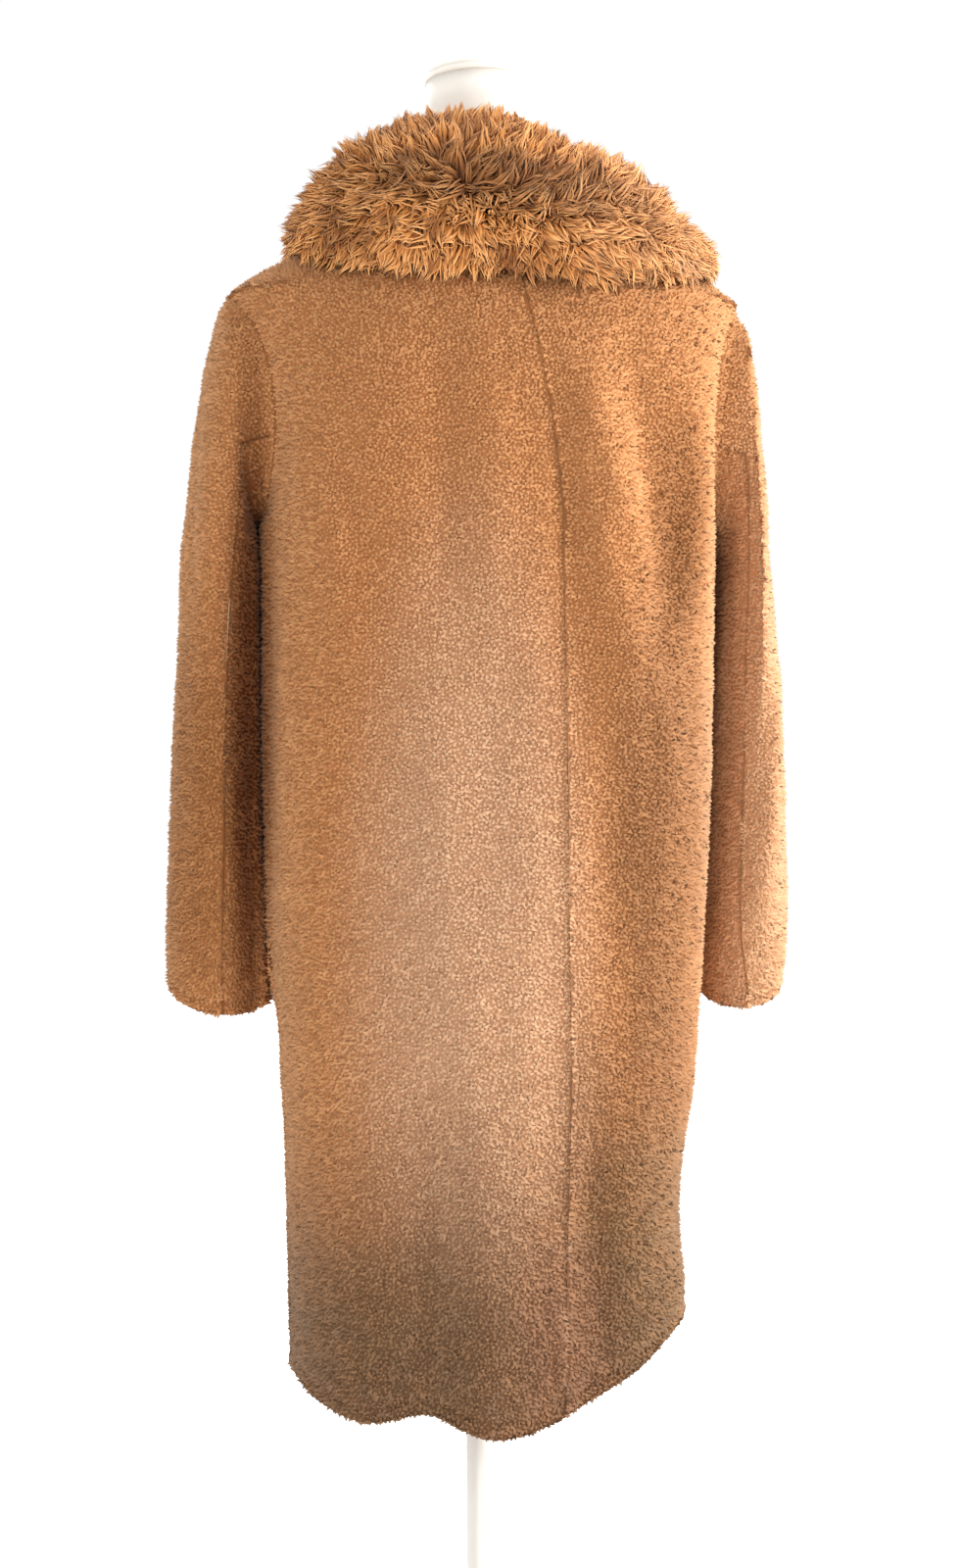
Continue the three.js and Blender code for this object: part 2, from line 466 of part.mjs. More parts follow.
// Part of a sleeve between two seam lines: rows of rings, from the armhole to the cuff.
function sleevePanel(side, table, folds, seams, columns) {
  const surface = sleeveSurface(side, table, folds);
  const byAngle = (angle, ring) => surface(ring, angle);
  const last = table.length - 1;
  const rings = [...Array.from({ length: last * 2 }, (_, k) => k / 2), last];
  const angles = (ring, inset) => {
    const [from, to] = seams.map((seam) => seam(ring));
    return Array.from({ length: columns + 1 }, (_, j) => THREE.MathUtils.lerp(from + inset, to - inset, j / columns));
  };
  const outer = [[], []];
  const inner = [[], []];
  for (const angle of angles(0, 0.12)) {
    const hole = armhole(side, angle);
    const ease = ARM_EASE * (1 + Math.max(Math.cos(angle * DEG), 0) ** 2);
    const inset = hole.outward.clone().multiplyScalar(-ease * SEAM);
    const edge = hole.edge.clone().add(inset);
    const root = hole.root.clone().add(inset);
    const inward = hole.outward.clone().multiplyScalar(-CLOTH);
    outer[0].push(root);
    outer[1].push(edge);
    inner[0].push(root.clone().add(inward));
    inner[1].push(edge.clone().add(inward));
  }
  for (const ring of rings) {
    const hem = smooth((ring - (last - 1)) * 1.2);
    const at = THREE.MathUtils.clamp(ring, 0.3, last - 0.3);
    const [outRow, inRow] = [[], []];
    angles(ring, 0).forEach((angle, j) => {
      const point = surface(ring, angle);
      const normal = normalAt(byAngle, angle, THREE.MathUtils.clamp(ring, 0.15, last - 0.15), 1, 0.15);
      if (side < 0) normal.negate();
      if (j === 0 || j === columns) {
        const seam = seams[j === 0 ? 0 : 1];
        const along = surface(at + 0.3, seam(at + 0.3)).sub(surface(at - 0.3, seam(at - 0.3)));
        const aside = new THREE.Vector3().crossVectors(normal, along).normalize();
        const within = surface(ring, angle + (j === 0 ? 4 : -4)).sub(point);
        point.addScaledVector(aside, Math.sign(aside.dot(within)) * SEAM * 0.6);
      }
      outRow.push(point);
      inRow.push(point.clone().addScaledVector(normal, -CLOTH - HEM_TURN * hem));
    });
    outer.push(outRow);
    inner.push(inRow);
  }
  return wall(outer, inner);
}

// Where a sleeve's seams run round it.
const LEFT_BACK_SEAM = (ring) => SLEEVE_SEAM_BACK - 13 * smooth(ring / 10);
const RIGHT_BACK_SEAM = (ring) =>
  SLEEVE_SEAM_BACK + 16 * smooth(ring / 7) - 30 * smooth((ring - 7) / 3);
const FRONT_SEAM = (ring) => SLEEVE_SEAM_FRONT + 8 * smooth(ring / 10);
const UNDER_END = (ring) => 360 + FRONT_SEAM(ring);
const TOP_COLUMNS = Math.round(((SLEEVE_SEAM_BACK - SLEEVE_SEAM_FRONT) * ARM_STEPS) / 360);
const UNDER_COLUMNS = ARM_STEPS - TOP_COLUMNS;

// The collar: one wall that stands up from the neckline, rolls over and falls to its outer edge.
function collarGeometry() {
  const numberedLeft = numbered(COLLAR_LEFT);
  const numberedRight = numbered(COLLAR_RIGHT);
  const stations = (COLLAR_LEFT.length - 1) * COLLAR_STEPS;
  const outer = [];
  const inner = [];
  for (let k = -stations; k <= stations; k += 1) {
    const side = k < 0 ? -1 : 1;
    const table = k < 0 ? numberedRight : numberedLeft;
    const get = (key) => column(table, key, Math.abs(k) / COLLAR_STEPS, "ring");
    const { backing, pile } = collarSection(side, get);
    inner.push(backing);
    outer.push(pile);
  }
  return wall(outer, inner);
}

// Across the collar: heights and widths of its stand, and the fall's share of the way to the edge.
const STAND_ROWS = [0, 0.35, 0.7, 0.95];
const FALL_ROWS = [0.1, 0.2, 0.32, 0.46, 0.6, 0.74, 0.87, 1];
const STAND_PILE = 9;

function collarSection(side, get) {
  const onCoat = (share) => {
    const bearing = side * THREE.MathUtils.lerp(get("neckAt"), get("edgeAt"), share);
    const z = THREE.MathUtils.lerp(get("neckZ"), get("edgeZ"), share);
    const point = frontPoint(side);
    return { at: point(bearing, z), normal: bodyNormal(point, bearing, z) };
  };
  const neck = onCoat(0);
  const away = neck.normal.clone().setZ(0).normalize();
  const rise = UP.clone().multiplyScalar(0.94).addScaledVector(away, 0.12).normalize();
  const standFoot = neck.at.clone().addScaledVector(neck.normal, SEAM + 0.4);
  const frontShare = smooth((get("neckAt") - 95) / 60);
  rise.lerp(neck.normal, frontShare).normalize();
  const backing = STAND_ROWS.map((share) => standFoot.clone().addScaledVector(rise, get("stand") * share));
  for (const share of FALL_ROWS) {
    const { at, normal } = onCoat(share);
    const lift = get("stand") * (1 - share ** 1.5) * (share > 0.05 ? 1 : 0);
    const direction = rise.clone().lerp(normal, smooth(share / 0.6)).normalize();
    backing.push(at.addScaledVector(direction, COLLAR_CLEAR + lift));
  }
  const pile = backing.map((point, j) => {
    const [a, b] = [backing[Math.max(j - 1, 0)], backing[Math.min(j + 1, backing.length - 1)]];
    const along = b.clone().sub(a).normalize();
    const sideways = new THREE.Vector3().crossVectors(away, UP);
    const out = new THREE.Vector3().crossVectors(sideways, along).normalize();
    const onStand = j < STAND_ROWS.length;
    const t = onStand ? STAND_ROWS[j] : 1;
    const edge = onStand ? 0 : Math.max(0, FALL_ROWS[j - STAND_ROWS.length] - 0.8) / 0.2;
    const full = get("pile") * (onStand ? 0.7 : 1);
    const thick = THREE.MathUtils.lerp(STAND_PILE, full, smooth(t)) * (1 - 0.45 * edge * edge);
    return point.clone().addScaledVector(out, thick);
  });
  return { backing, pile };
}

// The dress form, as one closed shell of sections with flat ends.
function formGeometry() {
  const around = 28;
  const levels = [];
  for (let i = 0; i < FORM.length - 1; i += 1) {
    levels.push(FORM[i].z);
    if (FORM[i + 1].z - FORM[i].z > 40) levels.push((FORM[i].z + FORM[i + 1].z) / 2);
  }
  levels.push(FORM.at(-1).z);
  const points = levels.flatMap((z) =>
    Array.from({ length: around }, (_, j) => sectionPoint(FORM, (360 * j) / around, z)),
  );
  const index = [];
  for (let i = 0; i < levels.length - 1; i += 1) {
    for (let j = 0; j < around; j += 1) {
      const [a, b] = [i * around + j, i * around + ((j + 1) % around)];
      index.push(a, b, b + around, a, b + around, a + around);
    }
  }
  const top = (levels.length - 1) * around;
  for (let j = 1; j < around - 1; j += 1) {
    index.push(0, j + 1, j);
    index.push(top, top + j, top + j + 1);
  }
  return faced(points, index);
}

// A turned piece from its profile of (radius, height) pairs.
function turned(profile, segments = 32) {
  const geometry = new THREE.LatheGeometry(
    profile.map(([r, z]) => new THREE.Vector2(r, z)),
    segments,
  );
  return geometry.rotateX(Math.PI / 2);
}

const FORM_FOOT = FORM[0].z;
const FORM_TOP = FORM.at(-1).z;

function capGeometry() {
  const foot = FORM_TOP + SEAM;
  const dome = [];
  const steps = 7;
  for (let k = 0; k <= steps; k += 1) {
    const a = (k / steps) * 90 * DEG;
    dome.push([CAP.radius * Math.cos(a), foot + CAP.rim + CAP.rise * Math.sin(a)]);
  }
  dome[steps][0] = 0;
  return turned([[0, foot], [CAP.radius, foot], ...dome]);
}

function poleGeometry() {
  const foot = BASE.height + SEAM;
  const shoulder = foot + POLE.collarHeight;
  return turned([
    [0, foot],
    [POLE.collar, foot],
    [POLE.collar, shoulder - 8],
    [POLE.collar - 6, shoulder],
    [POLE.radius, shoulder + 2],
    [POLE.radius, FORM_FOOT - SEAM],
    [0, FORM_FOOT - SEAM],
  ], 24);
}

function baseGeometry() {
  return turned([
    [0, 0],
    [BASE.radius - 2, 0],
    [BASE.radius, 2],
    [BASE.radius, BASE.rim - 2],
    [BASE.radius - 3, BASE.rim],
    [60, BASE.height],
    [0, BASE.height],
  ], 40);
}

const finish = (color, roughness, metalness = 0) => new THREE.MeshStandardMaterial({ color, roughness, metalness });
const camelPile = finish(0xb5855b, 0.95);
const longPile = finish(0xbd8352, 0.95);
const whiteShell = finish(0xf2ede4, 0.5);
const whiteEnamel = finish(0xe9e6df, 0.35, 0.1);

// The coat hangs a little higher on its right shoulder.
function leaned(geometry) {
  const position = geometry.attributes.position;
  for (let i = 0; i < position.count; i += 1) {
    const z = position.getZ(i);
    position.setZ(i, z - LEAN * position.getX(i) * smooth((z - LEAN_FOOT) / (ARM_TOP - LEAN_FOOT)));
  }
  return geometry;
}

const coatOnForm = new THREE.Group();
function add(name, geometry, material) {
  const mesh = new THREE.Mesh(geometry, material);
  mesh.name = name;
  coatOnForm.add(mesh);
  return mesh;
}

for (const [word, side, table, folds, seam] of [
  ["left", 1, LEFT_SLEEVE, LEFT_SLEEVE_FOLDS, LEFT_BACK_SEAM],
  ["right", -1, RIGHT_SLEEVE, RIGHT_SLEEVE_FOLDS, RIGHT_BACK_SEAM],
]) {
  add(`back_${word}`, leaned(back(side)), camelPile);
  add(`front_${word}`, leaned(front(side)), camelPile);
  const top = sleevePanel(side, table, folds, [FRONT_SEAM, seam], TOP_COLUMNS);
  const under = sleevePanel(side, table, folds, [seam, UNDER_END], UNDER_COLUMNS);
  add(`sleeve_top_${word}`, leaned(top), camelPile);
  add(`sleeve_under_${word}`, leaned(under), camelPile);
}
add("collar", leaned(collarGeometry()), longPile);
add("form_torso", formGeometry(), whiteShell);
add("form_neck_cap", capGeometry(), whiteShell).position.set(0, CAP.y, 0);
add("stand_pole", poleGeometry(), whiteEnamel);
add("stand_base", baseGeometry(), whiteEnamel);

export default coatOnForm;
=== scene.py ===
"""A knee-length faux fur coat on a white dress form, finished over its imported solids.

Lengths are metres. The coat's front faces -Y, its left side is +X and the floor is Z = 0.
"""

import json
import math

import bmesh
import bpy
import numpy as np
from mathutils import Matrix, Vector, noise
from mathutils.bvhtree import BVHTree
from mathutils.kdtree import KDTree

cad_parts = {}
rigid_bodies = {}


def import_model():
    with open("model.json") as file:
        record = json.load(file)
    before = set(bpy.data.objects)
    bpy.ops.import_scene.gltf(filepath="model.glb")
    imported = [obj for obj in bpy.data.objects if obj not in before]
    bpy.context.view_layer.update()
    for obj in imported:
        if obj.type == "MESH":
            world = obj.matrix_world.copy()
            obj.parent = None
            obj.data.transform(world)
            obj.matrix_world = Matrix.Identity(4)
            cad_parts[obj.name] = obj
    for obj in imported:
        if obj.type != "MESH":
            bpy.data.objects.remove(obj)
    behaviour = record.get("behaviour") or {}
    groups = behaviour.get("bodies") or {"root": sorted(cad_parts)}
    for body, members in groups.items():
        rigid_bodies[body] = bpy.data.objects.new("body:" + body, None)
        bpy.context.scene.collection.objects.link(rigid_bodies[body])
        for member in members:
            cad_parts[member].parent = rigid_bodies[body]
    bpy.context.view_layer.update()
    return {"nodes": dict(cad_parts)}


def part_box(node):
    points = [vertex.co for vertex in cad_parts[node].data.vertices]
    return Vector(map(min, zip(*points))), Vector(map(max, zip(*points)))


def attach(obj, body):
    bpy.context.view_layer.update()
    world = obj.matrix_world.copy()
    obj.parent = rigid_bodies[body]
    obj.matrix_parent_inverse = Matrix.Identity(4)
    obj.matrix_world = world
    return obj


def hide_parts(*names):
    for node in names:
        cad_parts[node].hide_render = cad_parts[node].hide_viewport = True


bl_info = {
    "name": "Faux fur coat on a dress form",
    "version": (1, 0, 0),
    "blender": (4, 5, 0),
    "location": "View3D > Sidebar > Coat",
    "description": "Dresses the packed coat with cloth, curly pile, a shaggy collar and its form",
    "category": "Object",
}

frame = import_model()

MM = 0.001

# The view of the photograph: the camera stands behind the coat, a little to its left side.
VIEW_TURN = math.radians(10.5)
VIEW_DISTANCE = 1.9
VIEW_HEIGHT = 0.83
FOCAL_PIXELS = 2159
PHOTO_WIDTH = 978
PHOTO_HEIGHT = 1600
AXIS_PIXEL = 492
SENSOR = 36

# How a solid is welded and rounded, and how its faces are told apart.
WELD = 0.01 * MM
JOIN_ANGLE = math.radians(60)
RIM_ANGLE = math.radians(48)
RIM_AREA = 0.02
HEM_TOP = 0.75
HEM_FACING = -0.6
FRONT_LAP = 0.065
COLLAR_FOOT = 1.2
EDGE_ON = -0.55
FACING = -0.7
SEAM_REACH = 2 * MM
COLLAR_REACH = 60 * MM
BODY_SPREAD = 0.7
BODY_MIDDLE = 0.012
SHOULDER_START = 1.15
BACKING, PILE, FREE_RIM, HIDDEN = range(4)

# How far the cloth is set in from its solid along a seam, at a free rim and close to another panel.
SEAM_SLOPE = 4 * MM
SEAM_INSET = 0.9
SEAM_CLOSE = 0.13 * MM
RIM_TUCK = 0.7
CROWD_REACH = 16 * MM
CROWD_SHARE = 0.25
RAY_START = 0.5 * MM
LOOK_START = 1.0

# Soft unevenness of the cloth, as sizes and depths, and the trough over a hem: how far up, width and depth.
CLOTH_UNEVEN = ((0.055, 1.3 * MM), (0.022, 0.7 * MM))
COLLAR_UNEVEN = (0.03, 1.5 * MM)
HEM_TROUGH = (12 * MM, 3.5 * MM, 2.6 * MM)

PANELS = (
    "back_left",
    "back_right",
    "front_left",
    "front_right",
    "sleeve_top_left",
    "sleeve_top_right",
    "sleeve_under_left",
    "sleeve_under_right",
)
FINE_PANELS = ("back", "sleeve")

# The middle line of each sleeve, for the left one; the right one mirrors it.
SLEEVE_AXIS = (
    Vector((0.190, 0.011, 1.240)),
    Vector((0.224, 0.011, 1.145)),
    Vector((0.240, 0.008, 0.960)),
    Vector((0.242, 0.000, 0.790)),
    Vector((0.236, -0.037, 0.650)),
)

# Fine creases pressed into the cloth, over the solids' broad folds. Each runs between two places
# seen from one side: how far along it and how high. Then come its width and its rise, of which a
# negative one is a trough. All are millimetres.
CREASES = {
    "back": (
        ((-95, 1165), (-118, 975), 11, 3.9),
        ((-118, 990), (-126, 925), 12, -1.2),
        ((-140, 1010), (-124, 930), 12, -1.0),
        ((-60, 1120), (-104, 985), 12, -3.6),
        ((-112, 940), (-124, 780), 13, -3.3),
        ((66, 1220), (54, 960), 14, -2.4),
        ((22, 1190), (18, 930), 18, 2.1),
        ((70, 560), (76, 330), 9, -3.6),
        ((36, 700), (30, 400), 16, 2.7),
        ((-12, 900), (-2, 420), 20, 3.3),
        ((128, 900), (140, 560), 18, -2.4),
        ((150, 1120), (120, 1010), 10, -3.3),
        ((162, 1080), (136, 900), 12, 3.0),
        ((-160, 1110), (-142, 1010), 12, -1.8),
        ((-62, 560), (-78, 340), 14, -3.3),
        ((-30, 470), (-40, 320), 12, 2.7),
        ((-40, 1175), (-52, 985), 13, -4.0),
        ((-92, 1150), (-86, 900), 22, 3.4),
        ((-150, 1130), (-134, 940), 15, -2.8),
        ((64, 900), (50, 480), 18, 3.0),
        ((108, 1120), (100, 520), 24, -2.8),
    ),
    "front": (
        ((-110, 1140), (-134, 960), 12, -3.3),
        ((118, 1150), (138, 970), 12, -3.6),
        ((-70, 900), (-84, 560), 16, 3.0),
        ((84, 860), (92, 500), 18, 2.7),
        ((-118, 700), (-112, 380), 14, -3.3),
        ((126, 680), (120, 360), 15, -3.0),
        ((40, 620), (48, 360), 14, -2.7),
    ),
    "left": (
        ((34, 1150), (52, 1010), 9, -3.3),
        ((10, 1060), (48, 960), 9, 2.7),
        ((-30, 1000), (20, 900), 10, -3.0),
        ((24, 930), (40, 800), 11, 2.4),
        ((-42, 860), (-10, 770), 9, -2.7),
    ),
    "right": (
        ((30, 1160), (58, 1020), 9, -3.6),
        ((2, 1080), (46, 985), 9, 3.0),
        ((-24, 1010), (26, 915), 10, -3.3),
        ((14, 900), (44, 810), 10, 2.7),
        ((-40, 840), (-6, 760), 9, -2.7),
    ),
}
LOOKS_FROM = {
    "back": (Vector((0, 1, 0)), Vector((1, 0, 0))),
    "front": (Vector((0, -1, 0)), Vector((1, 0, 0))),
    "left": (Vector((1, 0, 0)), Vector((0, 1, 0))),
    "right": (Vector((-1, 0, 0)), Vector((0, 1, 0))),
}

# Where the collar's pile parts across its back, as X and Z, and the whorl that it fans out from.
PARTING = (
    Vector((0.150, 1.352)),
    Vector((0.114, 1.357)),
    Vector((0.068, 1.345)),
    Vector((0.035, 1.325)),
    Vector((-0.015, 1.320)),
    Vector((-0.056, 1.322)),
    Vector((-0.083, 1.338)),
    Vector((-0.140, 1.338)),
)
WHORL = Vector((0.036, 0.125, 1.330))
COLLAR_PARTS = {"right": (-1.0, -0.05), "middle": (-0.05, 0.05), "left": (0.05, 1.0)}
DEPTH_SHARE = 0.6
THIN_COLLAR = 0.012
PARTING_PULL = 0.62
WHORL_PULL = 0.38
PARTING_EDGE = (0.006, 0.034)
FALL_TURN = (62, 100)
UPPER_COLLAR = (1.34, 1.40)
COLLAR_SIDES = (0.09, 0.14)

# Soft patches of painted light and shade, over X and Z: middle, size, share, colour and how it blends.
# The pale ones are painted highlights down the middle of the back and on the right sleeve; the dark
# ones are painted shade: the right sleeve's shadow on the back, the darker lower right, a crease by the
# right armhole, the left sleeve's shaded side and the gap between that sleeve and the body.
LIGHT_AND_SHADE_PATCHES = (
    ((0.035, 0.68), (0.13, 0.46), 0.68, (0.74, 0.51, 0.36), "MIX"),
    ((-0.255, 0.82), (0.10, 0.46), 0.42, (0.76, 0.51, 0.35), "MIX"),
    ((-0.135, 0.80), (0.075, 0.30), 0.9, (0.58, 0.60, 0.66), "MULTIPLY"),
    ((-0.120, 0.50), (0.11, 0.20), 0.9, (0.62, 0.64, 0.70), "MULTIPLY"),
    ((-0.152, 1.06), (0.040, 0.12), 0.7, (0.50, 0.45, 0.40), "MULTIPLY"),
    ((0.255, 0.80), (0.05, 0.22), 0.9, (0.66, 0.62, 0.56), "MULTIPLY"),
    ((0.212, 0.88), (0.026, 0.36), 0.95, (0.22, 0.13, 0.07), "MULTIPLY"),
)
# Darker olive and pinkish patches near the hem: partly painted shade and partly the pile's own uneven tone.
HEM_SHADE_TINTS = (
    ((-0.118, 0.43), (0.085, 0.15), 0.4, (0.17, 0.125, 0.07), "MIX"),
    ((0.100, 0.36), (0.12, 0.12), 0.4, (0.17, 0.12, 0.07), "MIX"),
    ((-0.045, 0.38), (0.06, 0.10), 0.4, (0.27, 0.14, 0.092), "MIX"),
)
# Painted light making the collar's right side pale, and the deep painted shade along its parting.
COLLAR_LIGHT_AND_SHADE = (
    ((-0.13, 1.31), (0.11, 0.09), 0.3, (0.80, 0.45, 0.22), "MIX"),
    ((0.012, 1.334), (0.15, 0.036), 0.62, (0.17, 0.058, 0.016), "MIX"),
)
SHADER_SOCKETS = {
    "sheen": "Sheen Weight",
    "sheen_roughness": "Sheen Roughness",
    "sheen_tint": "Sheen Tint",
    "coat": "Coat Weight",
    "specular": "Specular IOR Level",
}
# Heights between which a fine line runs round the top of the neck cap.
CAP_LINE = (1.4755, 1.4765, 1.4772, 1.4780)

# How each pile stands: its lean along the lay, its scatter, its swirls and the wave of its tips.
CURL_STAND = {"Lean": 0.16, "Jitter": 0.32, "Swirl": 0.6, "Swirl scale": 130.0}
LOCK_STAND = {
    "Lean": 2.6,
    "Jitter": 0.24,
    "Swirl": 2.0,
    "Swirl scale": 30.0,
    "Wave": 9 * MM,
    "Wave scale": 60.0,
}
CURL_SOFTNESS = 0.88
LOCK_SOFTNESS = 0.66
STRANDS = 14
STRAND_STEPS = 3
SHORTEST_LOCK = 0.3
FULLEST = 1.0e6
PILE_INPUTS = (
    ("Strand", "NodeSocketObject", None),
    ("Where", "NodeSocketString", "pile"),
    ("Spacing", "NodeSocketFloat", 4 * MM),
    ("Length", "NodeSocketFloat", 6 * MM),
    ("Lean", "NodeSocketFloat", 0.4),
    ("Jitter", "NodeSocketFloat", 0.4),
    ("Swirl", "NodeSocketFloat", 0.3),
    ("Swirl scale", "NodeSocketFloat", 60.0),
    ("Wave", "NodeSocketFloat", 0.0),
    ("Wave scale", "NodeSocketFloat", 60.0),
    ("Finish", "NodeSocketMaterial", None),
    ("Seed", "NodeSocketInt", 1),
)

# The studio: its floor, its lamps and the brightness of its walls and ceiling.
FLOOR_SIZE = 14.0
FLOOR_DROP = -0.5 * MM
LIGHTS = (
    {"name": "key", "at": (-3.1, 1.0, 1.95), "size": 2.4, "power": 190, "colour": (1.0, 0.96, 0.91)},
    {"name": "fill", "at": (1.6, 3.0, 1.6), "size": 2.0, "power": 34, "colour": (1.0, 0.95, 0.88)},
    {"name": "front", "at": (0.6, -2.6, 2.2), "size": 2.0, "power": 30, "colour": (1.0, 0.98, 0.96)},
)
AIM = Vector((0, 0, 0.85))
BACKDROP = 1.02
ROOM = 0.42
WALL_TURN = (-0.25, 0.35)
CEILING = 1.7
CEILING_TURN = (0.72, 0.92)


def smoothstep(low, high, value):
    share = np.clip((value - low) / (high - low), 0, 1)
    return share * share * (3 - 2 * share)


def unit(vectors):
    length = np.linalg.norm(vectors, axis=-1, keepdims=True)
    return vectors / np.maximum(length, 1e-9)


class Value:
    """A number in a node tree, on which Python's arithmetic adds Math nodes."""

    def __init__(self, tree, socket):
        self.tree = tree
        self.socket = socket

    def combined(self, operation, first, second, clamp=False):
        settings = {"operation": operation, "use_clamp": clamp}
        node = self.tree.add("ShaderNodeMath", settings, {0: first, 1: second})
        return Value(self.tree, node.outputs[0])

    def __add__(self, other):
        return self.combined("ADD", self, other)

    __radd__ = __add__

    def __sub__(self, other):
        return self.combined("SUBTRACT", self, other)

    def __rsub__(self, other):
        return self.combined("SUBTRACT", other, self)

    def __mul__(self, other):
        return self.combined("MULTIPLY", self, other)

    __rmul__ = __mul__

    def __truediv__(self, other):
        return self.combined("DIVIDE", self, other)

    def __pow__(self, other):
        return self.combined("POWER", self, other)

    def clamped(self):
        return self.combined("ADD", self, 0.0, clamp=True)


class Tree:
    """Adds nodes to a node tree: a node's settings first, then the values or links of its sockets."""

    def __init__(self, tree):
        self.tree = tree
        self.tree.nodes.clear()

    def add(self, kind, settings=None, sockets=None):
        node = self.tree.nodes.new(kind)
        for key, value in (settings or {}).items():
            if key == "stops":
                self.set_stops(node.color_ramp, value)
            else:
                setattr(node, key, value)
        for key, value in (sockets or {}).items():
            if isinstance(value, Value):
                value = value.socket
            if isinstance(value, bpy.types.NodeSocket):
                self.tree.links.new(value, node.inputs[key])
            else:
                node.inputs[key].default_value = value
        return node

    @staticmethod
    def set_stops(ramp, stops):
        while len(ramp.elements) > len(stops):
            ramp.elements.remove(ramp.elements[-1])
        while len(ramp.elements) < len(stops):
            ramp.elements.new(1)
        for element, (position, colour) in zip(ramp.elements, stops):
            element.position = position
            element.color = (*colour, 1)

    def number(self, socket):
        return Value(self, socket)

    def mix(self, factor, first, second, blend="MIX"):
        settings = {"data_type": "RGBA", "blend_type": blend}
        first, second = ((*c, 1) if isinstance(c, tuple) and len(c) == 3 else c for c in (first, second))
        return self.add("ShaderNodeMix", settings, {0: factor, 6: first, 7: second}).outputs[2]

    def ranged(self, value, low, high, start=0.0, end=1.0):
        settings = {"interpolation_type": "SMOOTHSTEP"}
        sockets = {"Value": value, "From Min": low, "From Max": high, "To Min": start, "To Max": end}
        return self.number(self.add("ShaderNodeMapRange", settings, sockets).outputs[0])


class Finish(Tree):
    """A material as it is built, on object coordinates."""

    def __init__(self, name):
        self.material = bpy.data.materials.new(name)
        self.material.use_nodes = True
        super().__init__(self.material.node_tree)
        self.place = self.add("ShaderNodeTexCoord").outputs["Object"]
        xyz = self.add("ShaderNodeSeparateXYZ", None, {0: self.place})
        self.x, self.y, self.z = (self.number(xyz.outputs[k]) for k in range(3))

    def noise(self, scale, detail=2.0, rough=0.5):
        sockets = {"Vector": self.place, "Scale": scale, "Detail": detail, "Roughness": rough}
        return self.number(self.add("ShaderNodeTexNoise", None, sockets).outputs[0])

    def attribute(self, name):
        settings = {"attribute_type": "GEOMETRY", "attribute_name": name}
        return self.number(self.add("ShaderNodeAttribute", settings).outputs["Fac"])

    def patch(self, middle, size):
        """A soft patch: 1 at its middle and 0 past its size, over X and Z."""
        across = (self.x - middle[0]) / size[0]
        up = (self.z - middle[1]) / size[1]
        return self.ranged(across * across + up * up, 0.0, 1.0, 1.0, 0.0)

    def patched(self, colour, rows):
        for middle, size, share, other, blend in rows:
            colour = self.mix(self.patch(middle, size) * share, colour, other, blend)
        return colour

    def bump(self, height, distance, strength=1.0):
        sockets = {"Height": height, "Distance": distance, "Strength": strength}
        return self.add("ShaderNodeBump", None, sockets).outputs[0]

    def shader(self, colour, roughness, normal=None, **constants):
        sockets = {"Base Color": colour, "Roughness": roughness}
        if normal is not None:
            sockets["Normal"] = normal
        sockets.update({SHADER_SOCKETS[key]: value for key, value in constants.items()})
        node = self.add("ShaderNodeBsdfPrincipled", None, sockets)
        self.add("ShaderNodeOutputMaterial", None, {"Surface": node.outputs[0]})
        return self.material


def length_value(name, description, default):
    return bpy.props.FloatProperty(name=name, description=description, default=default, unit="LENGTH")


def colour_value(name, description, default):
    return bpy.props.FloatVectorProperty(name=name, description=description, subtype="COLOR", default=default)


class CoatSizes(bpy.types.PropertyGroup):
    """Sizes of the coat's cloth and pile."""

    pile_length: length_value("Pile length", "Length of the coat's curly pile", 5.2 * MM)
    pile_spacing: length_value("Pile spacing", "Distance between its curls", 2.8 * MM)
    pile_depth: length_value("Pile depth", "How far the backing lies below the pile's tips", 3.8 * MM)
    lock_length: length_value("Lock length", "Length of the collar's locks", 34 * MM)
    lock_spacing: length_value("Lock spacing", "Distance between its locks", 4.5 * MM)
    lock_depth: length_value("Lock depth", "How far the collar's backing lies below the tips", 14 * MM)


class CoatColours(bpy.types.PropertyGroup):
    """Colours of the coat and the form."""

    camel: colour_value("Camel", "The coat's pile", (0.58, 0.278, 0.12))
    camel_root: colour_value("Camel root", "The coat's pile near its backing", (0.40, 0.175, 0.068))
    # Painted shade: the pile darkens and greys towards the hem.
    hem_shade: colour_value("Umber", "The greyer pile towards the hem", (0.20, 0.12, 0.075))
    collar_root: colour_value("Collar root", "The collar's pile at its roots", (0.26, 0.085, 0.022))
    collar: colour_value("Collar", "The collar's pile", (0.62, 0.25, 0.06))
    collar_tip: colour_value("Collar tip", "The collar's pile at its tips", (0.94, 0.49, 0.185))
    form: colour_value("Form", "The dress form's shell", (0.90, 0.87, 0.82))


def coat_colour_with_painted_light(f, colours):
    """The coat's colour from place to place, painted light and shade included, shared by its pile and the bed
    below.
    """
    # Painted light and shade in patches over the camel.
    colour = f.patched(tuple(colours.camel), LIGHT_AND_SHADE_PATCHES)
    # Painted shade: the colour darkens and greys towards the hem, where less light reaches.
    drift = (f.noise(5.0) - 0.5) * 0.12
    low = f.ranged(f.z + drift, 0.34, 0.62, 1.0, 0.0)
    colour = f.mix(low * 0.88, colour, tuple(colours.hem_shade))
    return f.patched(colour, HEM_SHADE_TINTS)


